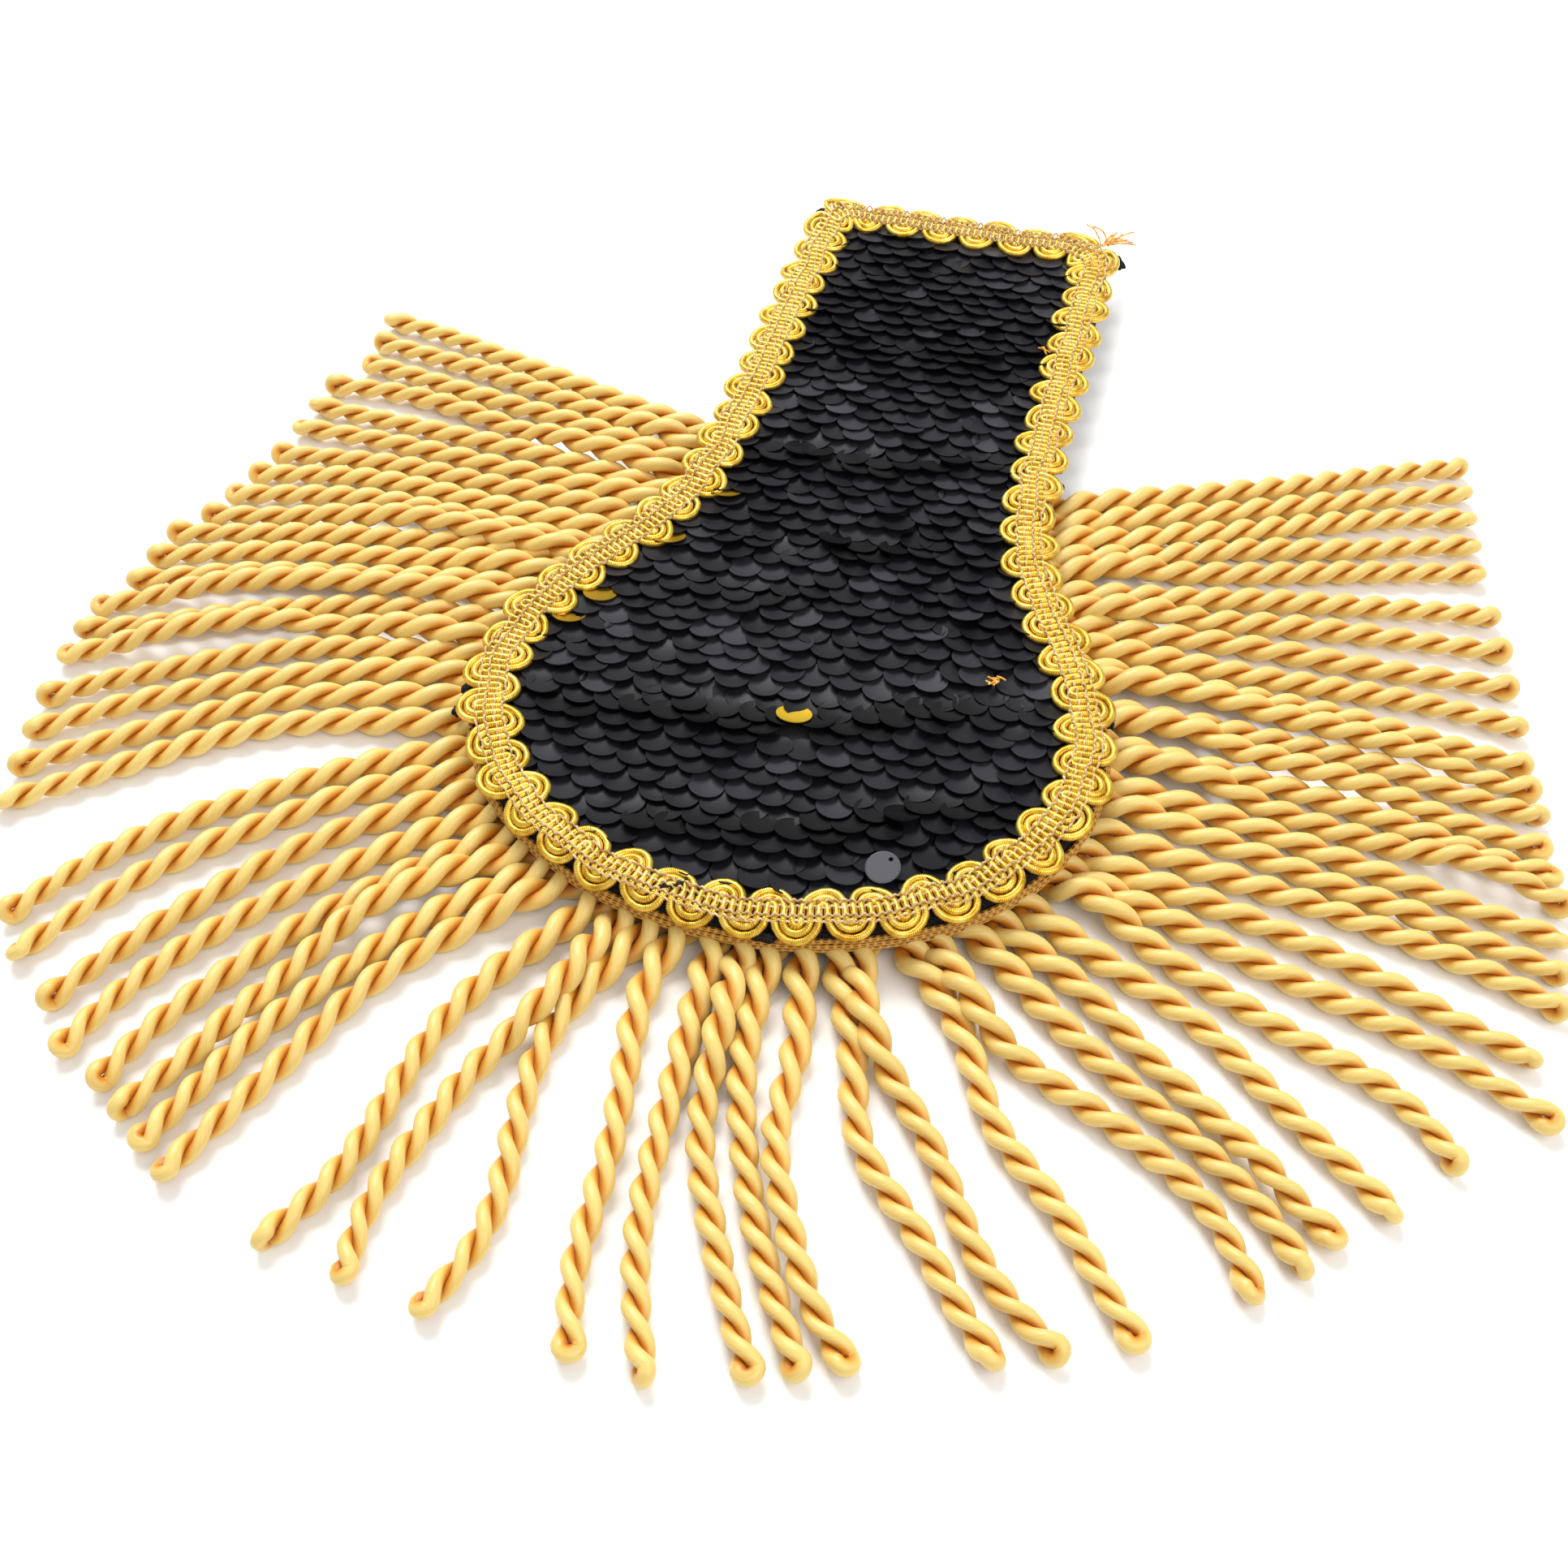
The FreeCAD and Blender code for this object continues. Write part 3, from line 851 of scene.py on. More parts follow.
def make_sequin_ground(material):
    """The cloth that the sequins are sewn to, covering the board."""
    profile = [(BOARD_OVERHANG - inset * MM, CLOTH_BOTTOM + height * MM) for inset, height in GROUND_RIM]
    piece = ring_slab("sequin_ground", profile)
    piece.data.materials.append(material)
    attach(piece, "root")
    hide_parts("sequin_cloth")
    return piece


def sequin_shape():
    """One sequin as a thin cupped disc, its sewn edge at the origin and its free edge towards -Y."""
    bpy.ops.object.select_all(action="DESELECT")
    bpy.ops.mesh.primitive_cylinder_add(vertices=SEQUIN_SIDES, radius=SEQUIN_RADIUS, depth=SEQUIN_THICKNESS,
                                        end_fill_type="NGON", location=(0, -SEQUIN_RADIUS, 0))
    disc = bpy.context.object
    bpy.ops.object.transform_apply(location=True, rotation=True, scale=True)
    bpy.ops.object.mode_set(mode="EDIT")
    bpy.ops.mesh.select_mode(type="FACE")
    bpy.ops.mesh.select_all(action="DESELECT")
    bpy.ops.object.mode_set(mode="OBJECT")
    for face in disc.data.polygons:
        face.select = abs(face.normal.z) > FLAT_FACE
    bpy.ops.object.mode_set(mode="EDIT")
    for width in (RIM_WIDTH, CUP_WIDTH):
        bpy.ops.mesh.inset(thickness=SEQUIN_RADIUS * width, use_individual=True)
        bpy.ops.transform.translate(value=(0, 0, -CUP_STEP))
    bpy.ops.object.mode_set(mode="OBJECT")
    verts = np.array([tuple(vertex.co) for vertex in disc.data.vertices])
    faces = [tuple(face.vertices) for face in disc.data.polygons]
    mesh = disc.data
    bpy.data.objects.remove(disc)
    bpy.data.meshes.remove(mesh)
    return verts, faces


def turned(verts, tilt, roll, spin):
    """Places turned by a tilt about X, a roll about Y and a spin about Z."""
    cos, sin = math.cos, math.sin
    turn_x = np.array(((1, 0, 0), (0, cos(tilt), -sin(tilt)), (0, sin(tilt), cos(tilt))))
    turn_y = np.array(((cos(roll), 0, sin(roll)), (0, 1, 0), (-sin(roll), 0, cos(roll))))
    turn_z = np.array(((cos(spin), -sin(spin), 0), (sin(spin), cos(spin), 0), (0, 0, 1)))
    return verts @ (turn_z @ turn_y @ turn_x).T


def sequin_at(shape, x, y, rng, extra_tilt=0.0):
    """One sequin's corners at its place on the cloth, and its tone: a random tone with painted light where
    the cloth rises towards the strap end and painted shade in creases.
    """
    slope = (field_swell(x, y + SLOPE_STEP) - field_swell(x, y - SLOPE_STEP)) / (2 * SLOPE_STEP)
    side = (field_swell(x + SLOPE_STEP, y) - field_swell(x - SLOPE_STEP, y)) / (2 * SLOPE_STEP)
    tilt = -SEQUIN_TILT + SLOPE_TILT * math.atan(slope) + rng.normal(0, UNEVEN_TILT) + extra_tilt
    body = turned(shape, tilt, -math.atan(side) + rng.normal(0, UNEVEN_ROLL), rng.normal(0, UNEVEN_SPIN))
    height = CLOTH_BOTTOM + SEQUIN_HEIGHT + SWELL_SHARE * field_swell(x, y)
    # Painted light where the cloth rises towards the strap end and painted shade in its creases, over a
    # random tone
    tone_and_painted_light = MIDDLE_TONE + SLOPE_PAINTED_LIGHT * slope - CREASE_PAINTED_SHADE * crease_depth(x, y) + rng.normal(0, UNEVEN_TONE)
    return body + np.array((x, y, height)), min(max(tone_and_painted_light, 0.0), 1.0)


def sequin_mesh(name, bodies, shape_faces, tones, material):
    """Many sequins joined as one piece."""
    size = len(bodies[0])
    faces = [tuple(index + size * order for index in face)
             for order in range(len(bodies)) for face in shape_faces]
    piece = new_mesh_object(name, np.vstack(bodies), faces, fields={"tone_and_painted_light": np.repeat(tones, size)},
                            smooth_faces=False)
    piece.data.materials.append(material)
    select_only(piece)
    bpy.ops.object.shade_smooth_by_angle(angle=SEQUIN_SHADE_ANGLE)
    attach(piece, "root")
    return piece


def make_sequins(material):
    """Overlapping sequins in staggered rows over the whole field."""
    rng = np.random.default_rng(SEQUIN_SEED)
    shape, shape_faces = sequin_shape()
    bodies = []
    tones = []
    rows = int(FIELD_END * MM / SEQUIN_ROW) + SPARE_ROWS
    columns = int(2 * FIELD_REACH / SEQUIN_COLUMN) + SPARE_ROWS
    patch_x, patch_y, patch_radius = (value * MM for value in BARE_PATCH)
    for row in range(rows):
        y = TIP_Y - ROW_START + row * SEQUIN_ROW
        for column in range(columns):
            x = CENTRE_X + (column - columns / 2 + 0.5 * (row % 2)) * SEQUIN_COLUMN
            place_x = x + rng.normal(0, UNEVEN_PLACE[0]) * MM
            place_y = y + rng.normal(0, UNEVEN_PLACE[1]) * MM + ROW_SWAY * math.sin(x / ROW_SWAY_LENGTH)
            if not inside_field(place_x, place_y - SEQUIN_RADIUS, SEQUIN_MARGIN):
                continue
            body, tone_and_painted_light = sequin_at(shape, place_x, place_y, rng)
            if math.hypot(place_x - CENTRE_X - patch_x, place_y - TIP_Y - patch_y) >= patch_radius:
                bodies.append(body)
                tones.append(tone_and_painted_light)
    return sequin_mesh("sequins", bodies, shape_faces, tones, material)


def make_turned_sequins(material):
    """The few sequins that have flipped to their gold side, peeking out under their neighbours."""
    rng = np.random.default_rng(TURNED_SEED)
    shape, shape_faces = sequin_shape()
    bodies = []
    tones = []
    for x, y, peek in GOLD_SEQUINS:
        body, _ = sequin_at(shape, CENTRE_X + x * MM, TIP_Y + (y - peek) * MM, rng, extra_tilt=GOLD_TILT)
        bodies.append(body - GOLD_SINK * UP)
        # Painted shade on the slivers that barely peek out, painted light on the one that shows whole
        tones.append(GOLD_TONE + GOLD_PEEK_PAINTED_LIGHT * peek)
    return sequin_mesh("turned_sequins", bodies, shape_faces, tones, material)


def make_loose_sequin(material):
    """One sequin with its sewing hole showing, lying free by the front edge."""
    sides = LOOSE_SEQUIN_SIDES
    angles = np.linspace(0, 2 * math.pi, sides, endpoint=False)
    round_about = np.column_stack((np.cos(angles), np.sin(angles)))
    hole = (SEWING_HOLE_RADIUS * round_about + np.array(SEWING_HOLE)) * MM
    rim = SEQUIN_RADIUS * LOOSE_SEQUIN_SIZE * round_about
    flat = rim * LOOSE_SEQUIN_BEVEL
    top = SEQUIN_THICKNESS
    steps = ((hole, 0.0), (flat, 0.0), (rim, LOOSE_SEQUIN_RIM * top), (flat, top), (hole, top))
    rings = np.stack([np.column_stack((ring, np.full(sides, height))) for ring, height in steps])
    corners = turned(rings.reshape(-1, 3), LOOSE_SEQUIN_TILT, LOOSE_SEQUIN_ROLL, 0.0)
    place = (CENTRE_X + LOOSE_SEQUIN[0] * MM, TIP_Y + (LOOSE_SEQUIN[1] - LOOSE_SEQUIN_DROP) * MM,
             CLOTH_BOTTOM + LOOSE_SEQUIN_HEIGHT)
    faces = []
    for level in range(len(steps)):
        below = level * sides
        above = (level + 1) % len(steps) * sides
        faces += [(below + (index + 1) % sides, below + index, above + index, above + (index + 1) % sides)
                  for index in range(sides)]
    piece = new_mesh_object("loose_sequin", corners + np.array(place), faces, smooth_faces=False)
    piece.data.materials.append(material)
    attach(piece, "root")
    return piece


# Small details

# Folds of the black cover that show outside the braid, in millimetres
# Columns: x, y, height, length, width, turn in degrees
COVER_FOLDS = (
    (-31.0, 177.5, 6.3, 4.2, 2.6, 40.0),
    (-32.0, 172.5, 6.0, 2.8, 2.4, 95.0),
    (31.6, 176.5, 6.2, 3.6, 2.6, -50.0),
    (-33.2, 116.6, 6.4, 2.6, 2.2, 80.0),
    (31.6, 110.0, 6.2, 2.4, 1.9, -80.0),
    (32.4, 105.0, 6.0, 2.2, 1.8, -70.0),
    (-52.6, 30.0, 6.0, 3.6, 2.0, 75.0),
    (-52.4, 24.5, 5.8, 2.4, 1.8, 100.0),
    (50.6, 50.5, 5.8, 2.6, 1.8, 85.0),
    (50.2, 29.0, 5.8, 2.8, 2.0, 60.0),
    (45.8, 17.8, 5.7, 3.2, 2.0, 35.0),
    (8.5, -6.4, 7.2, 4.2, 1.6, 4.0),
)
# Ends of thread that stand out of the braid, in millimetres
# Columns: x, y, height, number of ends, length, heading in degrees
THREAD_ENDS = (
    (28.3, 175.4, 10.3, 14, 6.0, 62.0),
    (-42.6, 47.0, 9.4, 5, 1.7, 20.0),
    (31.9, 51.2, 9.6, 7, 1.8, 200.0),
    (23.4, 138.9, 9.5, 5, 1.6, 180.0),
)
# How the frayed ends fan out in degrees, curl in radians, rise, vary in length and scatter
THREAD_RADIUS = 0.17 * MM
THREAD_SIDES = 6
THREAD_POINTS = 9
THREAD_FAN = 55
THREAD_CURL = 1.4
THREAD_SLOPES = (0.05, 0.55)
THREAD_SHARES = (0.5, 1.0)
THREAD_SCATTER = 0.4
THREAD_RISE_LIMIT = 1.6 * MM
FOLD_HEIGHT = 1.5
FOLD_TURN = 0.12
# Crumples of the folds
# Columns: waves along, waves across, depth
FOLD_CRUMPLES = (
    (5, 0, 0.14),
    (0, 7, 0.10),
    (9, -6, 0.08),
)


def make_cover_folds(material):
    """Small soft folds of the board's black cover at the braid's outer edge."""
    rng = np.random.default_rng(FOLD_SEED)
    bpy.ops.object.select_all(action="DESELECT")
    folds = []
    for x, y, height, length, width, turn in COVER_FOLDS:
        bpy.ops.mesh.primitive_ico_sphere_add(subdivisions=3, radius=1.0, location=(0, 0, 0))
        fold = bpy.context.object
        corners = np.array([tuple(vertex.co) for vertex in fold.data.vertices])
        phases = rng.uniform(0, 2 * math.pi, len(FOLD_CRUMPLES))
        crumple = 1.0
        for (waves_along, waves_across, depth), phase in zip(FOLD_CRUMPLES, phases):
            waves = waves_along * corners[:, 0] + waves_across * corners[:, 1]
            crumple = crumple + depth * np.sin(waves + phase)
        corners = corners * np.array((length, width, FOLD_HEIGHT)) / 2 * crumple[:, None]
        corners = turned(corners, rng.normal(0, FOLD_TURN), rng.normal(0, FOLD_TURN), math.radians(turn))
        place = np.array((CENTRE_X / MM + x, TIP_Y / MM + y, height))
        fold.data.vertices.foreach_set("co", ((corners + place) * MM).astype(np.float32).ravel())
        fold.data.update()
        folds.append(fold)
    for fold in folds:
        fold.select_set(True)
    bpy.context.view_layer.objects.active = folds[0]
    bpy.ops.object.join()
    piece = bpy.context.object
    piece.name = "cover_folds"
    piece.data.polygons.foreach_set("use_smooth", np.ones(len(piece.data.polygons), bool))
    piece.data.materials.append(material)
    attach(piece, "root")


def thread_line(x, y, height, length, heading, rng):
    """The way of one frayed end of thread, curling off from its place."""
    way = math.radians(heading + rng.uniform(-THREAD_FAN, THREAD_FAN))
    slope = rng.uniform(*THREAD_SLOPES)
    curl = rng.uniform(-THREAD_CURL, THREAD_CURL)
    travel = np.linspace(0.0, 1.0, THREAD_POINTS)
    turn = way + curl * travel
    step = length * rng.uniform(*THREAD_SHARES) * MM / (THREAD_POINTS - 1)
    line_x = (CENTRE_X + x * MM) + rng.normal(0, THREAD_SCATTER) * MM + np.cumsum(np.cos(turn)) * step
    line_y = (TIP_Y + y * MM) + rng.normal(0, THREAD_SCATTER) * MM + np.cumsum(np.sin(turn)) * step
    line_z = height * MM + np.minimum(slope * travel * length * MM, THREAD_RISE_LIMIT)
    return np.column_stack((line_x, line_y, line_z))


def make_thread_ends(material):
    """Frayed ends of thread at a corner of the braid and along its inner edge."""
    rng = np.random.default_rng(THREAD_SEED)
    tubes = TubeSet()
    for x, y, height, ends, length, heading in THREAD_ENDS:
        for _ in range(ends):
            line = thread_line(x, y, height, length, heading, rng)
            tubes.add(tube_rings(line, THREAD_RADIUS, THREAD_SIDES), path_length(line))
    piece = tubes.finish("thread_ends")
    piece.data.materials.append(material)
    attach(piece, "root")


# Materials

# Colours of each finish
# Columns: at a low value, in the middle, at a high value
BULLION_GROOVE_SHADE_TONES = ((0.82, 0.615, 0.195), (0.73, 0.385, 0.050), (0.57, 0.185, 0.009))
FIBRE_TONES = ((0.86, 0.82, 0.76), (0.97, 0.96, 0.94), (1.0, 1.0, 1.0))
STRAND_TONES = ((0.95, 0.92, 0.88), (0.98, 0.97, 0.95), (1.0, 1.0, 1.0))
HEADING_TONES = ((0.12, 0.04, 0.004), (0.42, 0.17, 0.016), (0.70, 0.38, 0.06))
GIMP_TONES = ((0.42, 0.20, 0.010), (0.78, 0.49, 0.05), (0.95, 0.72, 0.18))
SEWING_TONES = ((0.44, 0.28, 0.12), (0.68, 0.49, 0.24), (0.88, 0.74, 0.48))
FRAYED_TONES = ((0.55, 0.10, 0.008), (0.80, 0.36, 0.03), (0.90, 0.66, 0.16))
BLACK_SEQUIN_TONES = ((0.0015, 0.0015, 0.002), (0.011, 0.011, 0.014), (0.070, 0.070, 0.080))
GOLD_SEQUIN_TONES = ((0.16, 0.08, 0.004), (0.42, 0.26, 0.015), (0.80, 0.52, 0.03))
GREY_SEQUIN_TONES = ((0.07, 0.07, 0.08), (0.12, 0.12, 0.14), (0.20, 0.20, 0.23))
BLACK_CLOTH_TONES = ((0.003, 0.003, 0.004), (0.008, 0.008, 0.009), (0.018, 0.017, 0.018))
STEEL_TONES = ((0.42, 0.42, 0.43), (0.52, 0.52, 0.53), (0.62, 0.62, 0.63))

# How patterns are stretched along their cords, and shares of fibres and wrapping in their colour
FIBRE_STRETCH = (30.0, 300.0, 1.0)
FIBRE_SHARE = 0.36
RIB_STRETCH = (2.0, 260.0, 1.0)
WRAP_STRETCH = (1.0, 2600.0, 1.0)
WRAP_SHARE = 0.22
BRUSHING_STRETCH = (60.0, 2200.0, 2200.0)

# Sockets of a mix node that mixes colours
MIX_SHARE = 0
MIX_FIRST = 6
MIX_SECOND = 7
MIX_RESULT = 2


def new_material(name):
    """A node material with its nodes, links and Principled shader."""
    material = bpy.data.materials.new(name)
    material.use_nodes = True
    nodes = material.node_tree.nodes
    return material, nodes, material.node_tree.links, nodes["Principled BSDF"]


def add_node(nodes, kind, **values):
    """A node with its properties and unlinked inputs set by name."""
    node = nodes.new(kind)
    for key, value in values.items():
        if key in node.inputs:
            node.inputs[key].default_value = value
        else:
            setattr(node, key, value)
    return node


def new_group(name, inputs, outputs):
    """An empty shader node group with its named inputs and outputs."""
    tree = bpy.data.node_groups.new(name, "ShaderNodeTree")
    for socket, kind in inputs:
        tree.interface.new_socket(socket, in_out="INPUT", socket_type=kind)
    for socket, kind in outputs:
        tree.interface.new_socket(socket, in_out="OUTPUT", socket_type=kind)
    entry = tree.nodes.new("NodeGroupInput").outputs
    result = tree.nodes.new("NodeGroupOutput").inputs
    return tree, entry, result


def place_group(nodes, tree, **values):
    """A group placed in a material, with its unlinked inputs set by name."""
    node = nodes.new("ShaderNodeGroup")
    node.node_tree = tree
    for key, value in values.items():
        node.inputs[key].default_value = value
    return node


def make_grain_group():
    """Fine uneven grain: a value for colour and a surface relief of a given depth."""
    tree, entry, result = new_group(
        "surface_grain",
        (("Vector", "NodeSocketVector"), ("Scale", "NodeSocketFloat"), ("Depth", "NodeSocketFloat")),
        (("Value", "NodeSocketFloat"), ("Normal", "NodeSocketVector")))
    noise = add_node(tree.nodes, "ShaderNodeTexNoise", Detail=3.0, Roughness=0.6)
    bump = add_node(tree.nodes, "ShaderNodeBump", Strength=0.6)
    tree.links.new(entry["Vector"], noise.inputs["Vector"])
    tree.links.new(entry["Scale"], noise.inputs["Scale"])
    tree.links.new(entry["Depth"], bump.inputs["Distance"])
    tree.links.new(noise.outputs["Fac"], bump.inputs["Height"])
    tree.links.new(noise.outputs["Fac"], result["Value"])
    tree.links.new(bump.outputs["Normal"], result["Normal"])
    return tree


def make_weave_group():
    """Plain weave: threads crossing over and under, as a value and a relief."""
    tree, entry, result = new_group(
        "plain_weave",
        (("Vector", "NodeSocketVector"), ("Scale", "NodeSocketFloat"), ("Depth", "NodeSocketFloat")),
        (("Value", "NodeSocketFloat"), ("Normal", "NodeSocketVector")))
    warp = add_node(tree.nodes, "ShaderNodeTexWave", Distortion=0.8, bands_direction="X")
    weft = add_node(tree.nodes, "ShaderNodeTexWave", Distortion=0.8, bands_direction="Y")
    crossing = add_node(tree.nodes, "ShaderNodeMath", operation="MAXIMUM")
    bump = add_node(tree.nodes, "ShaderNodeBump", Strength=0.7)
    for wave in (warp, weft):
        tree.links.new(entry["Vector"], wave.inputs["Vector"])
        tree.links.new(entry["Scale"], wave.inputs["Scale"])
    tree.links.new(warp.outputs["Fac"], crossing.inputs[0])
    tree.links.new(weft.outputs["Fac"], crossing.inputs[1])
    tree.links.new(entry["Depth"], bump.inputs["Distance"])
    tree.links.new(crossing.outputs["Value"], bump.inputs["Height"])
    tree.links.new(crossing.outputs["Value"], result["Value"])
    tree.links.new(bump.outputs["Normal"], result["Normal"])
    return tree


def make_tones_group():
    """A colour between a low, a middle and a high one by a value from 0 to 1."""
    tree, entry, result = new_group(
        "three_tones",
        (("Value", "NodeSocketFloat"), ("Low", "NodeSocketColor"), ("Middle", "NodeSocketColor"),
         ("High", "NodeSocketColor")),
        (("Colour", "NodeSocketColor"),))
    shares = []
    for start, end in ((0.0, 0.5), (0.5, 1.0)):
        shares.append(contrast(tree.nodes, tree.links, entry["Value"], low=start, high=end))
    lower = add_node(tree.nodes, "ShaderNodeMix", data_type="RGBA")
    upper = add_node(tree.nodes, "ShaderNodeMix", data_type="RGBA")
    tree.links.new(shares[0], lower.inputs[MIX_SHARE])
    tree.links.new(entry["Low"], lower.inputs[MIX_FIRST])
    tree.links.new(entry["Middle"], lower.inputs[MIX_SECOND])
    tree.links.new(shares[1], upper.inputs[MIX_SHARE])
    tree.links.new(lower.outputs[MIX_RESULT], upper.inputs[MIX_FIRST])
    tree.links.new(entry["High"], upper.inputs[MIX_SECOND])
    tree.links.new(upper.outputs[MIX_RESULT], result["Colour"])
    return tree


def contrast(nodes, links, value, low, high):
    """A value stretched so that low becomes 0 and high becomes 1."""
    node = nodes.new("ShaderNodeMapRange")
    node.inputs["From Min"].default_value = low
    node.inputs["From Max"].default_value = high
    links.new(value, node.inputs["Value"])
    return node.outputs["Result"]


def multiplied(nodes, links, first, second):
    """Two colours multiplied."""
    node = add_node(nodes, "ShaderNodeMix", data_type="RGBA", blend_type="MULTIPLY")
    node.inputs[MIX_SHARE].default_value = 1.0
    links.new(first, node.inputs[MIX_FIRST])
    links.new(second, node.inputs[MIX_SECOND])
    return node.outputs[MIX_RESULT]


def stretched(nodes, links, vector, scale):
    """A pattern's vector stretched by a scale."""
    mapping = nodes.new("ShaderNodeMapping")
    mapping.inputs["Scale"].default_value = scale
    links.new(vector, mapping.inputs["Vector"])
    return mapping.outputs["Vector"]


def own_uv(nodes):
    """The piece's own UV map: round the cord, and metres along it."""
    node = nodes.new("ShaderNodeUVMap")
    node.uv_map = "UVMap"
    return node.outputs["UV"]


def object_place(nodes):
    """Places in the piece's own coordinates."""
    return nodes.new("ShaderNodeTexCoord").outputs["Object"]


def tones(nodes, links, value, colours):
    """A colour by value from low, middle and high tones."""
    low, middle, high = ((*colour, 1.0) for colour in colours)
    node = place_group(nodes, THREE_TONES, Low=low, Middle=middle, High=high)
    links.new(value, node.inputs["Value"])
    return node.outputs["Colour"]


def surface(nodes, links, tree, vector, scale, depth):
    """A grain or weave group placed on a vector, with its value and normal."""
    node = place_group(nodes, tree, Scale=scale, Depth=depth)
    links.new(vector, node.inputs["Vector"])
    return node.outputs["Value"], node.outputs["Normal"]


def bullion_material():
    """Satin rayon cord: pale gold crowns, painted orange shade in the grooves between the plies and fine
    fibres along each ply.
    """
    material, nodes, links, shader = new_material("satin_bullion")
    groove = add_node(nodes, "ShaderNodeAttribute", attribute_name="groove")
    shade = add_node(nodes, "ShaderNodeAttribute", attribute_name="shade")
    lengthwise = stretched(nodes, links, own_uv(nodes), FIBRE_STRETCH)
    fibres, relief = surface(nodes, links, SURFACE_GRAIN, lengthwise, scale=1.0, depth=0.08 * MM)
    # The groove value is painted shade; the fibre grain is added to it before it picks the tone, from pale
    # gold crown to deep orange groove
    groove_shade_and_fibres = add_node(nodes, "ShaderNodeMath", operation="MULTIPLY_ADD")
    groove_shade_and_fibres.inputs[1].default_value = FIBRE_SHARE
    links.new(fibres, groove_shade_and_fibres.inputs[0])
    links.new(groove.outputs["Fac"], groove_shade_and_fibres.inputs[2])
    depth = contrast(nodes, links, groove_shade_and_fibres.outputs["Value"], low=0.16, high=1.06)
    streak = contrast(nodes, links, fibres, low=0.3, high=0.7)
    cord = tones(nodes, links, depth, BULLION_GROOVE_SHADE_TONES)
    streaks = tones(nodes, links, streak, FIBRE_TONES)
    strand = tones(nodes, links, shade.outputs["Fac"], STRAND_TONES)
    colour = multiplied(nodes, links, multiplied(nodes, links, cord, streaks), strand)
    links.new(colour, shader.inputs["Base Color"])
    links.new(relief, shader.inputs["Normal"])
    shader.inputs["Roughness"].default_value = 0.38
    shader.inputs["Specular IOR Level"].default_value = 0.5
    shader.inputs["Sheen Weight"].default_value = 0.12
    shader.inputs["Sheen Tint"].default_value = (1.0, 0.86, 0.55, 1.0)
    return material


def heading_material():
    """The heading's woven thread: brownish gold ribs across its length."""
    material, nodes, links, shader = new_material("heading_thread")
    ribs = stretched(nodes, links, own_uv(nodes), RIB_STRETCH)
    value, relief = surface(nodes, links, PLAIN_WEAVE, ribs, scale=1.0, depth=0.25 * MM)
    links.new(tones(nodes, links, value, HEADING_TONES), shader.inputs["Base Color"])
    links.new(relief, shader.inputs["Normal"])
    shader.inputs["Roughness"].default_value = 0.5
    return material


def gimp_material():
    """Metal-wrapped cord: bright yellow gold with fine turns of wrapping."""
    material, nodes, links, shader = new_material("metallic_gimp")
    wrap = add_node(nodes, "ShaderNodeTexWave", Scale=0.75, Distortion=0.6, bands_direction="DIAGONAL")
    links.new(stretched(nodes, links, own_uv(nodes), WRAP_STRETCH), wrap.inputs["Vector"])
    patches, relief = surface(nodes, links, SURFACE_GRAIN, object_place(nodes), scale=520.0, depth=0.06 * MM)
    turns = add_node(nodes, "ShaderNodeMath", operation="MULTIPLY_ADD")
    turns.inputs[1].default_value = WRAP_SHARE
    links.new(wrap.outputs["Fac"], turns.inputs[0])
    links.new(patches, turns.inputs[2])
    value = contrast(nodes, links, turns.outputs["Value"], low=0.36, high=0.86)
    links.new(tones(nodes, links, value, GIMP_TONES), shader.inputs["Base Color"])
    bump = add_node(nodes, "ShaderNodeBump", Strength=0.4, Distance=0.05 * MM)
    links.new(wrap.outputs["Fac"], bump.inputs["Height"])
    links.new(relief, bump.inputs["Normal"])
    links.new(bump.outputs["Normal"], shader.inputs["Normal"])
    shader.inputs["Metallic"].default_value = 0.8
    shader.inputs["Roughness"].default_value = 0.3
    return material


def thread_material(name, colours):
    """Fine sewing thread in three tones."""
    material, nodes, links, shader = new_material(name)
    grain, relief = surface(nodes, links, SURFACE_GRAIN, object_place(nodes), scale=900.0, depth=0.05 * MM)
    value = contrast(nodes, links, grain, low=0.3, high=0.7)
    links.new(tones(nodes, links, value, colours), shader.inputs["Base Color"])
    links.new(relief, shader.inputs["Normal"])
    shader.inputs["Roughness"].default_value = 0.55
    return material


def sequin_material(name, colours, metallic):
    """Satin sequins, a little uneven in gloss; their tone attribute carries a random tone with painted light
    and painted shade laid over it.
    """
    material, nodes, links, shader = new_material(name)
    tone_and_painted_light = add_node(nodes, "ShaderNodeAttribute", attribute_name="tone_and_painted_light")
    grain, relief = surface(nodes, links, SURFACE_GRAIN, object_place(nodes), scale=2600.0, depth=0.01 * MM)
    links.new(tones(nodes, links, tone_and_painted_light.outputs["Fac"], colours), shader.inputs["Base Color"])
    gloss = nodes.new("ShaderNodeMapRange")
    gloss.inputs["To Min"].default_value = 0.30
    gloss.inputs["To Max"].default_value = 0.46
    links.new(grain, gloss.inputs["Value"])
    links.new(gloss.outputs["Result"], shader.inputs["Roughness"])
    links.new(relief, shader.inputs["Normal"])
    shader.inputs["Metallic"].default_value = metallic
    shader.inputs["Specular IOR Level"].default_value = 0.17
    return material


def black_cloth_material():
    """Matte black woven cloth."""
    material, nodes, links, shader = new_material("black_cloth")
    value, relief = surface(nodes, links, PLAIN_WEAVE, object_place(nodes), scale=620.0, depth=0.10 * MM)
    links.new(tones(nodes, links, value, BLACK_CLOTH_TONES), shader.inputs["Base Color"])
    links.new(relief, shader.inputs["Normal"])
    shader.inputs["Roughness"].default_value = 0.85
    shader.inputs["Specular IOR Level"].default_value = 0.2
    return material


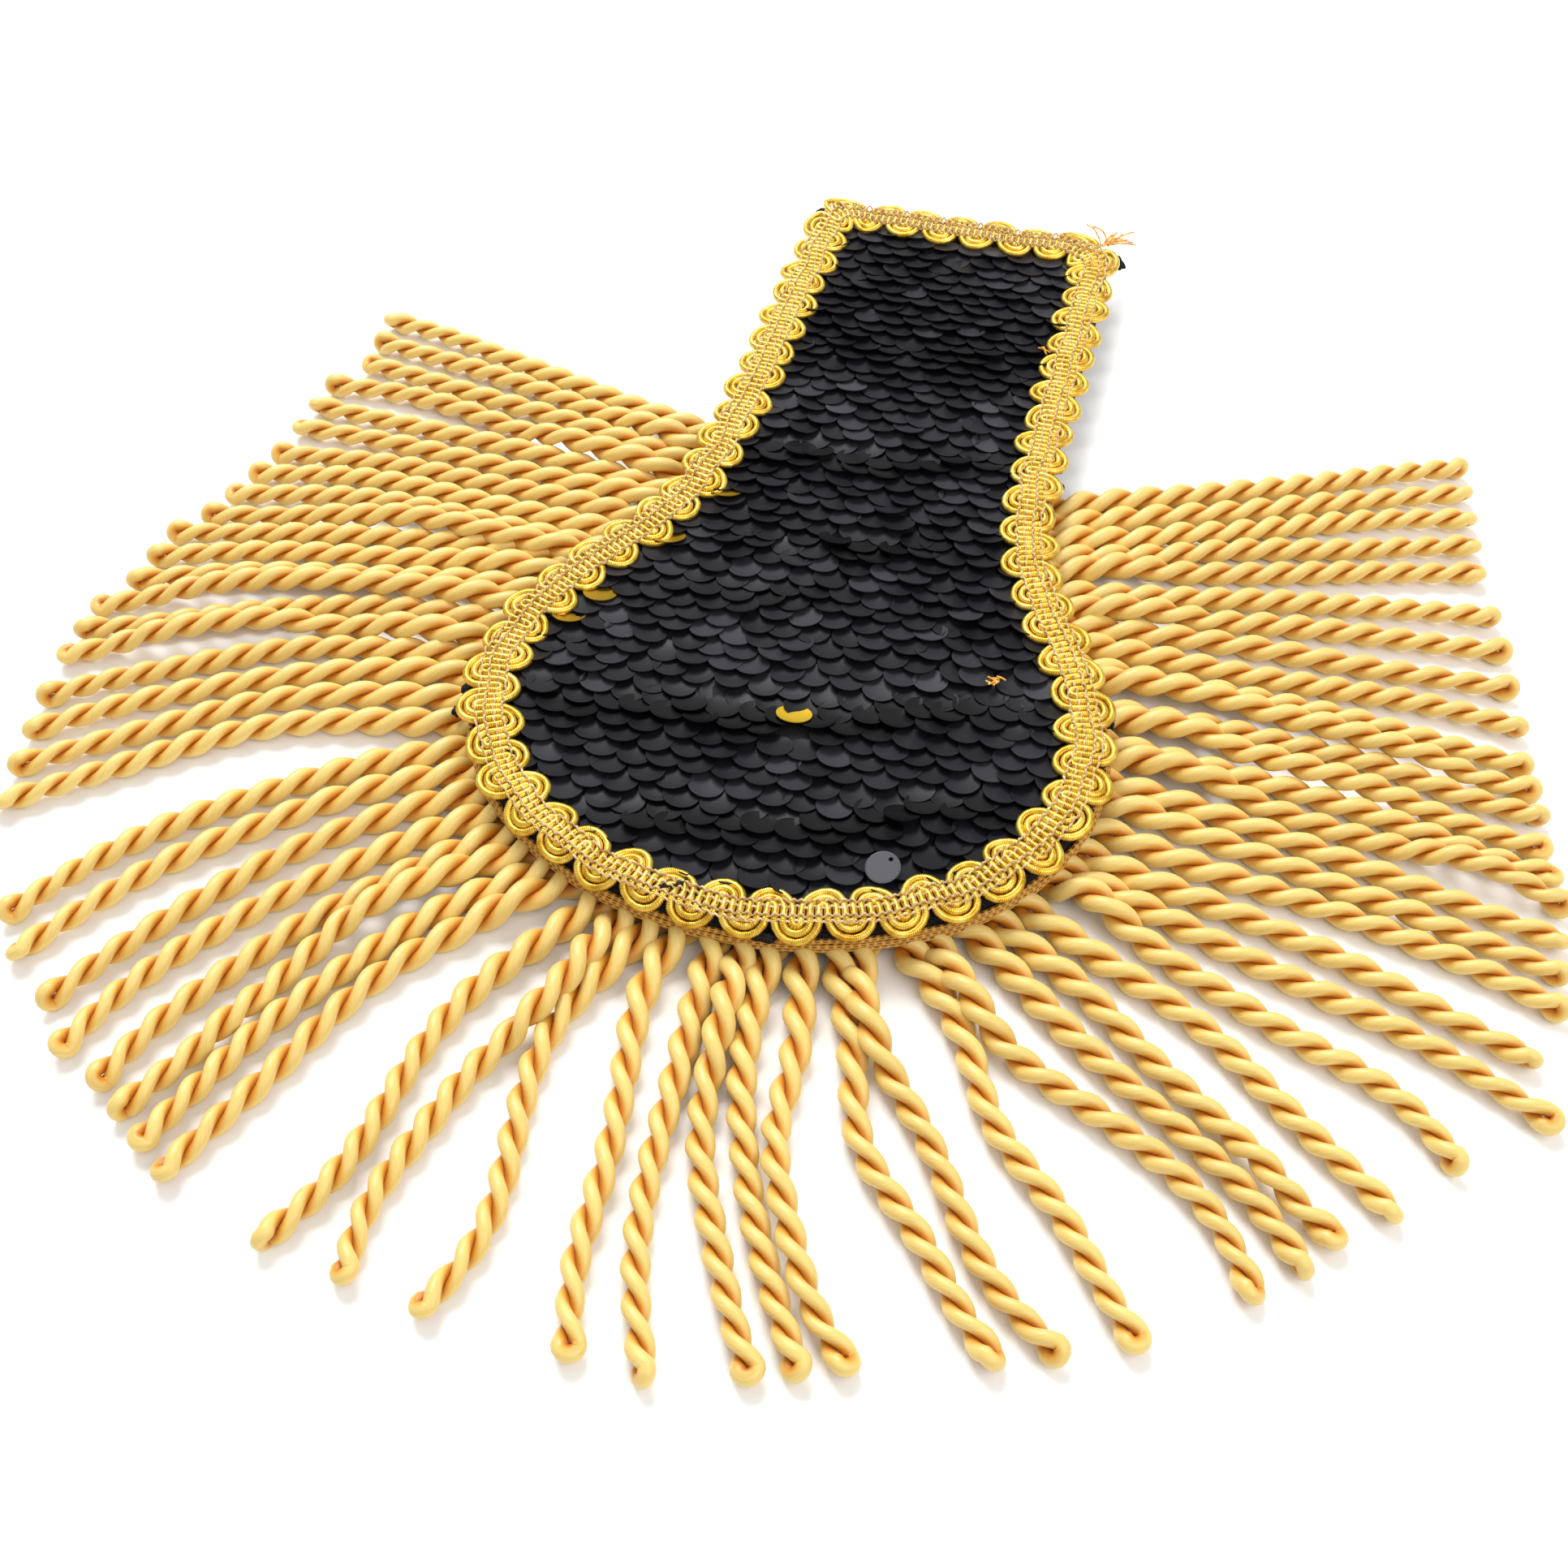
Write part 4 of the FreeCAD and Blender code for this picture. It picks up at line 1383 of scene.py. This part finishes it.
def steel_material():
    """Plain nickel-plated steel with light brushing."""
    material, nodes, links, shader = new_material("plated_steel")
    brushing = stretched(nodes, links, object_place(nodes), BRUSHING_STRETCH)
    grain, relief = surface(nodes, links, SURFACE_GRAIN, brushing, scale=1.0, depth=0.02 * MM)
    value = contrast(nodes, links, grain, low=0.3, high=0.7)
    links.new(tones(nodes, links, value, STEEL_TONES), shader.inputs["Base Color"])
    links.new(relief, shader.inputs["Normal"])
    shader.inputs["Metallic"].default_value = 1.0
    shader.inputs["Roughness"].default_value = 0.3
    return material


# Table and lights

TABLE_SIZE = 6.0
TABLE_DROP = 0.1 * MM
WORLD_STRENGTH = 0.64
# Soft square lights in metres and watts
# Columns: name, x, y, z, size, power
LIGHTS = (
    ("key_light", -0.35, 0.55, 0.85, 0.6, 12.0),
    ("fill_light", 0.7, -0.3, 0.8, 0.9, 5.5),
)


def make_table():
    """A plain white table."""
    bpy.ops.object.select_all(action="DESELECT")
    bpy.ops.mesh.primitive_plane_add(size=TABLE_SIZE, location=(0, 0, -TABLE_DROP))
    table = bpy.context.object
    table.name = "pale_table"
    material, _, _, shader = new_material("pale_table")
    shader.inputs["Base Color"].default_value = (0.93, 0.93, 0.93, 1.0)
    shader.inputs["Roughness"].default_value = 0.7
    table.data.materials.append(material)


def area_light(name, place, size, power):
    """A soft square light turned towards the object."""
    data = bpy.data.lights.new(name, "AREA")
    data.shape = "SQUARE"
    data.size = size
    data.energy = power
    light = bpy.data.objects.new(name, data)
    bpy.context.collection.objects.link(light)
    way = -np.array(place)
    light.location = place
    light.rotation_euler = (math.acos(-way[2] / np.linalg.norm(way)), 0.0,
                            math.atan2(way[0], -way[1]) + math.pi)


def make_lights():
    """Plain soft studio light."""
    bpy.context.scene.view_settings.view_transform = "Standard"
    for name, x, y, z, size, power in LIGHTS:
        area_light(name, (x, y, z), size, power)
    world = bpy.data.worlds.new("studio")
    bpy.context.scene.world = world
    world.use_nodes = True
    background = world.node_tree.nodes["Background"]
    background.inputs["Color"].default_value = (1.0, 1.0, 1.0, 1.0)
    background.inputs["Strength"].default_value = WORLD_STRENGTH


make_camera()
bpy.ops.object.select_all(action="DESELECT")
SURFACE_GRAIN = make_grain_group()
PLAIN_WEAVE = make_weave_group()
THREE_TONES = make_tones_group()
STRANDS = fringe_roots()
make_fringe(STRANDS, bullion_material())
make_fringe_tape(STRANDS, heading_material())
make_braid(gimp_material())
make_stitches(thread_material("sewing_thread", SEWING_TONES))
CLOTH = black_cloth_material()
make_board(CLOTH)
make_cover_folds(CLOTH)
GROUND = make_sequin_ground(CLOTH)
SEQUINS = make_sequins(sequin_material("satin_sequins", BLACK_SEQUIN_TONES, metallic=0.0))
TURNED_SEQUINS = make_turned_sequins(sequin_material("gold_sequins", GOLD_SEQUIN_TONES, metallic=0.6))
FREE_SEQUIN = make_loose_sequin(sequin_material("grey_sequin", GREY_SEQUIN_TONES, metallic=0.0))
make_thread_ends(thread_material("frayed_thread", FRAYED_TONES))
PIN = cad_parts["pin_bar"]
PIN.data.materials.clear()
PIN.data.materials.append(steel_material())
make_table()
make_lights()
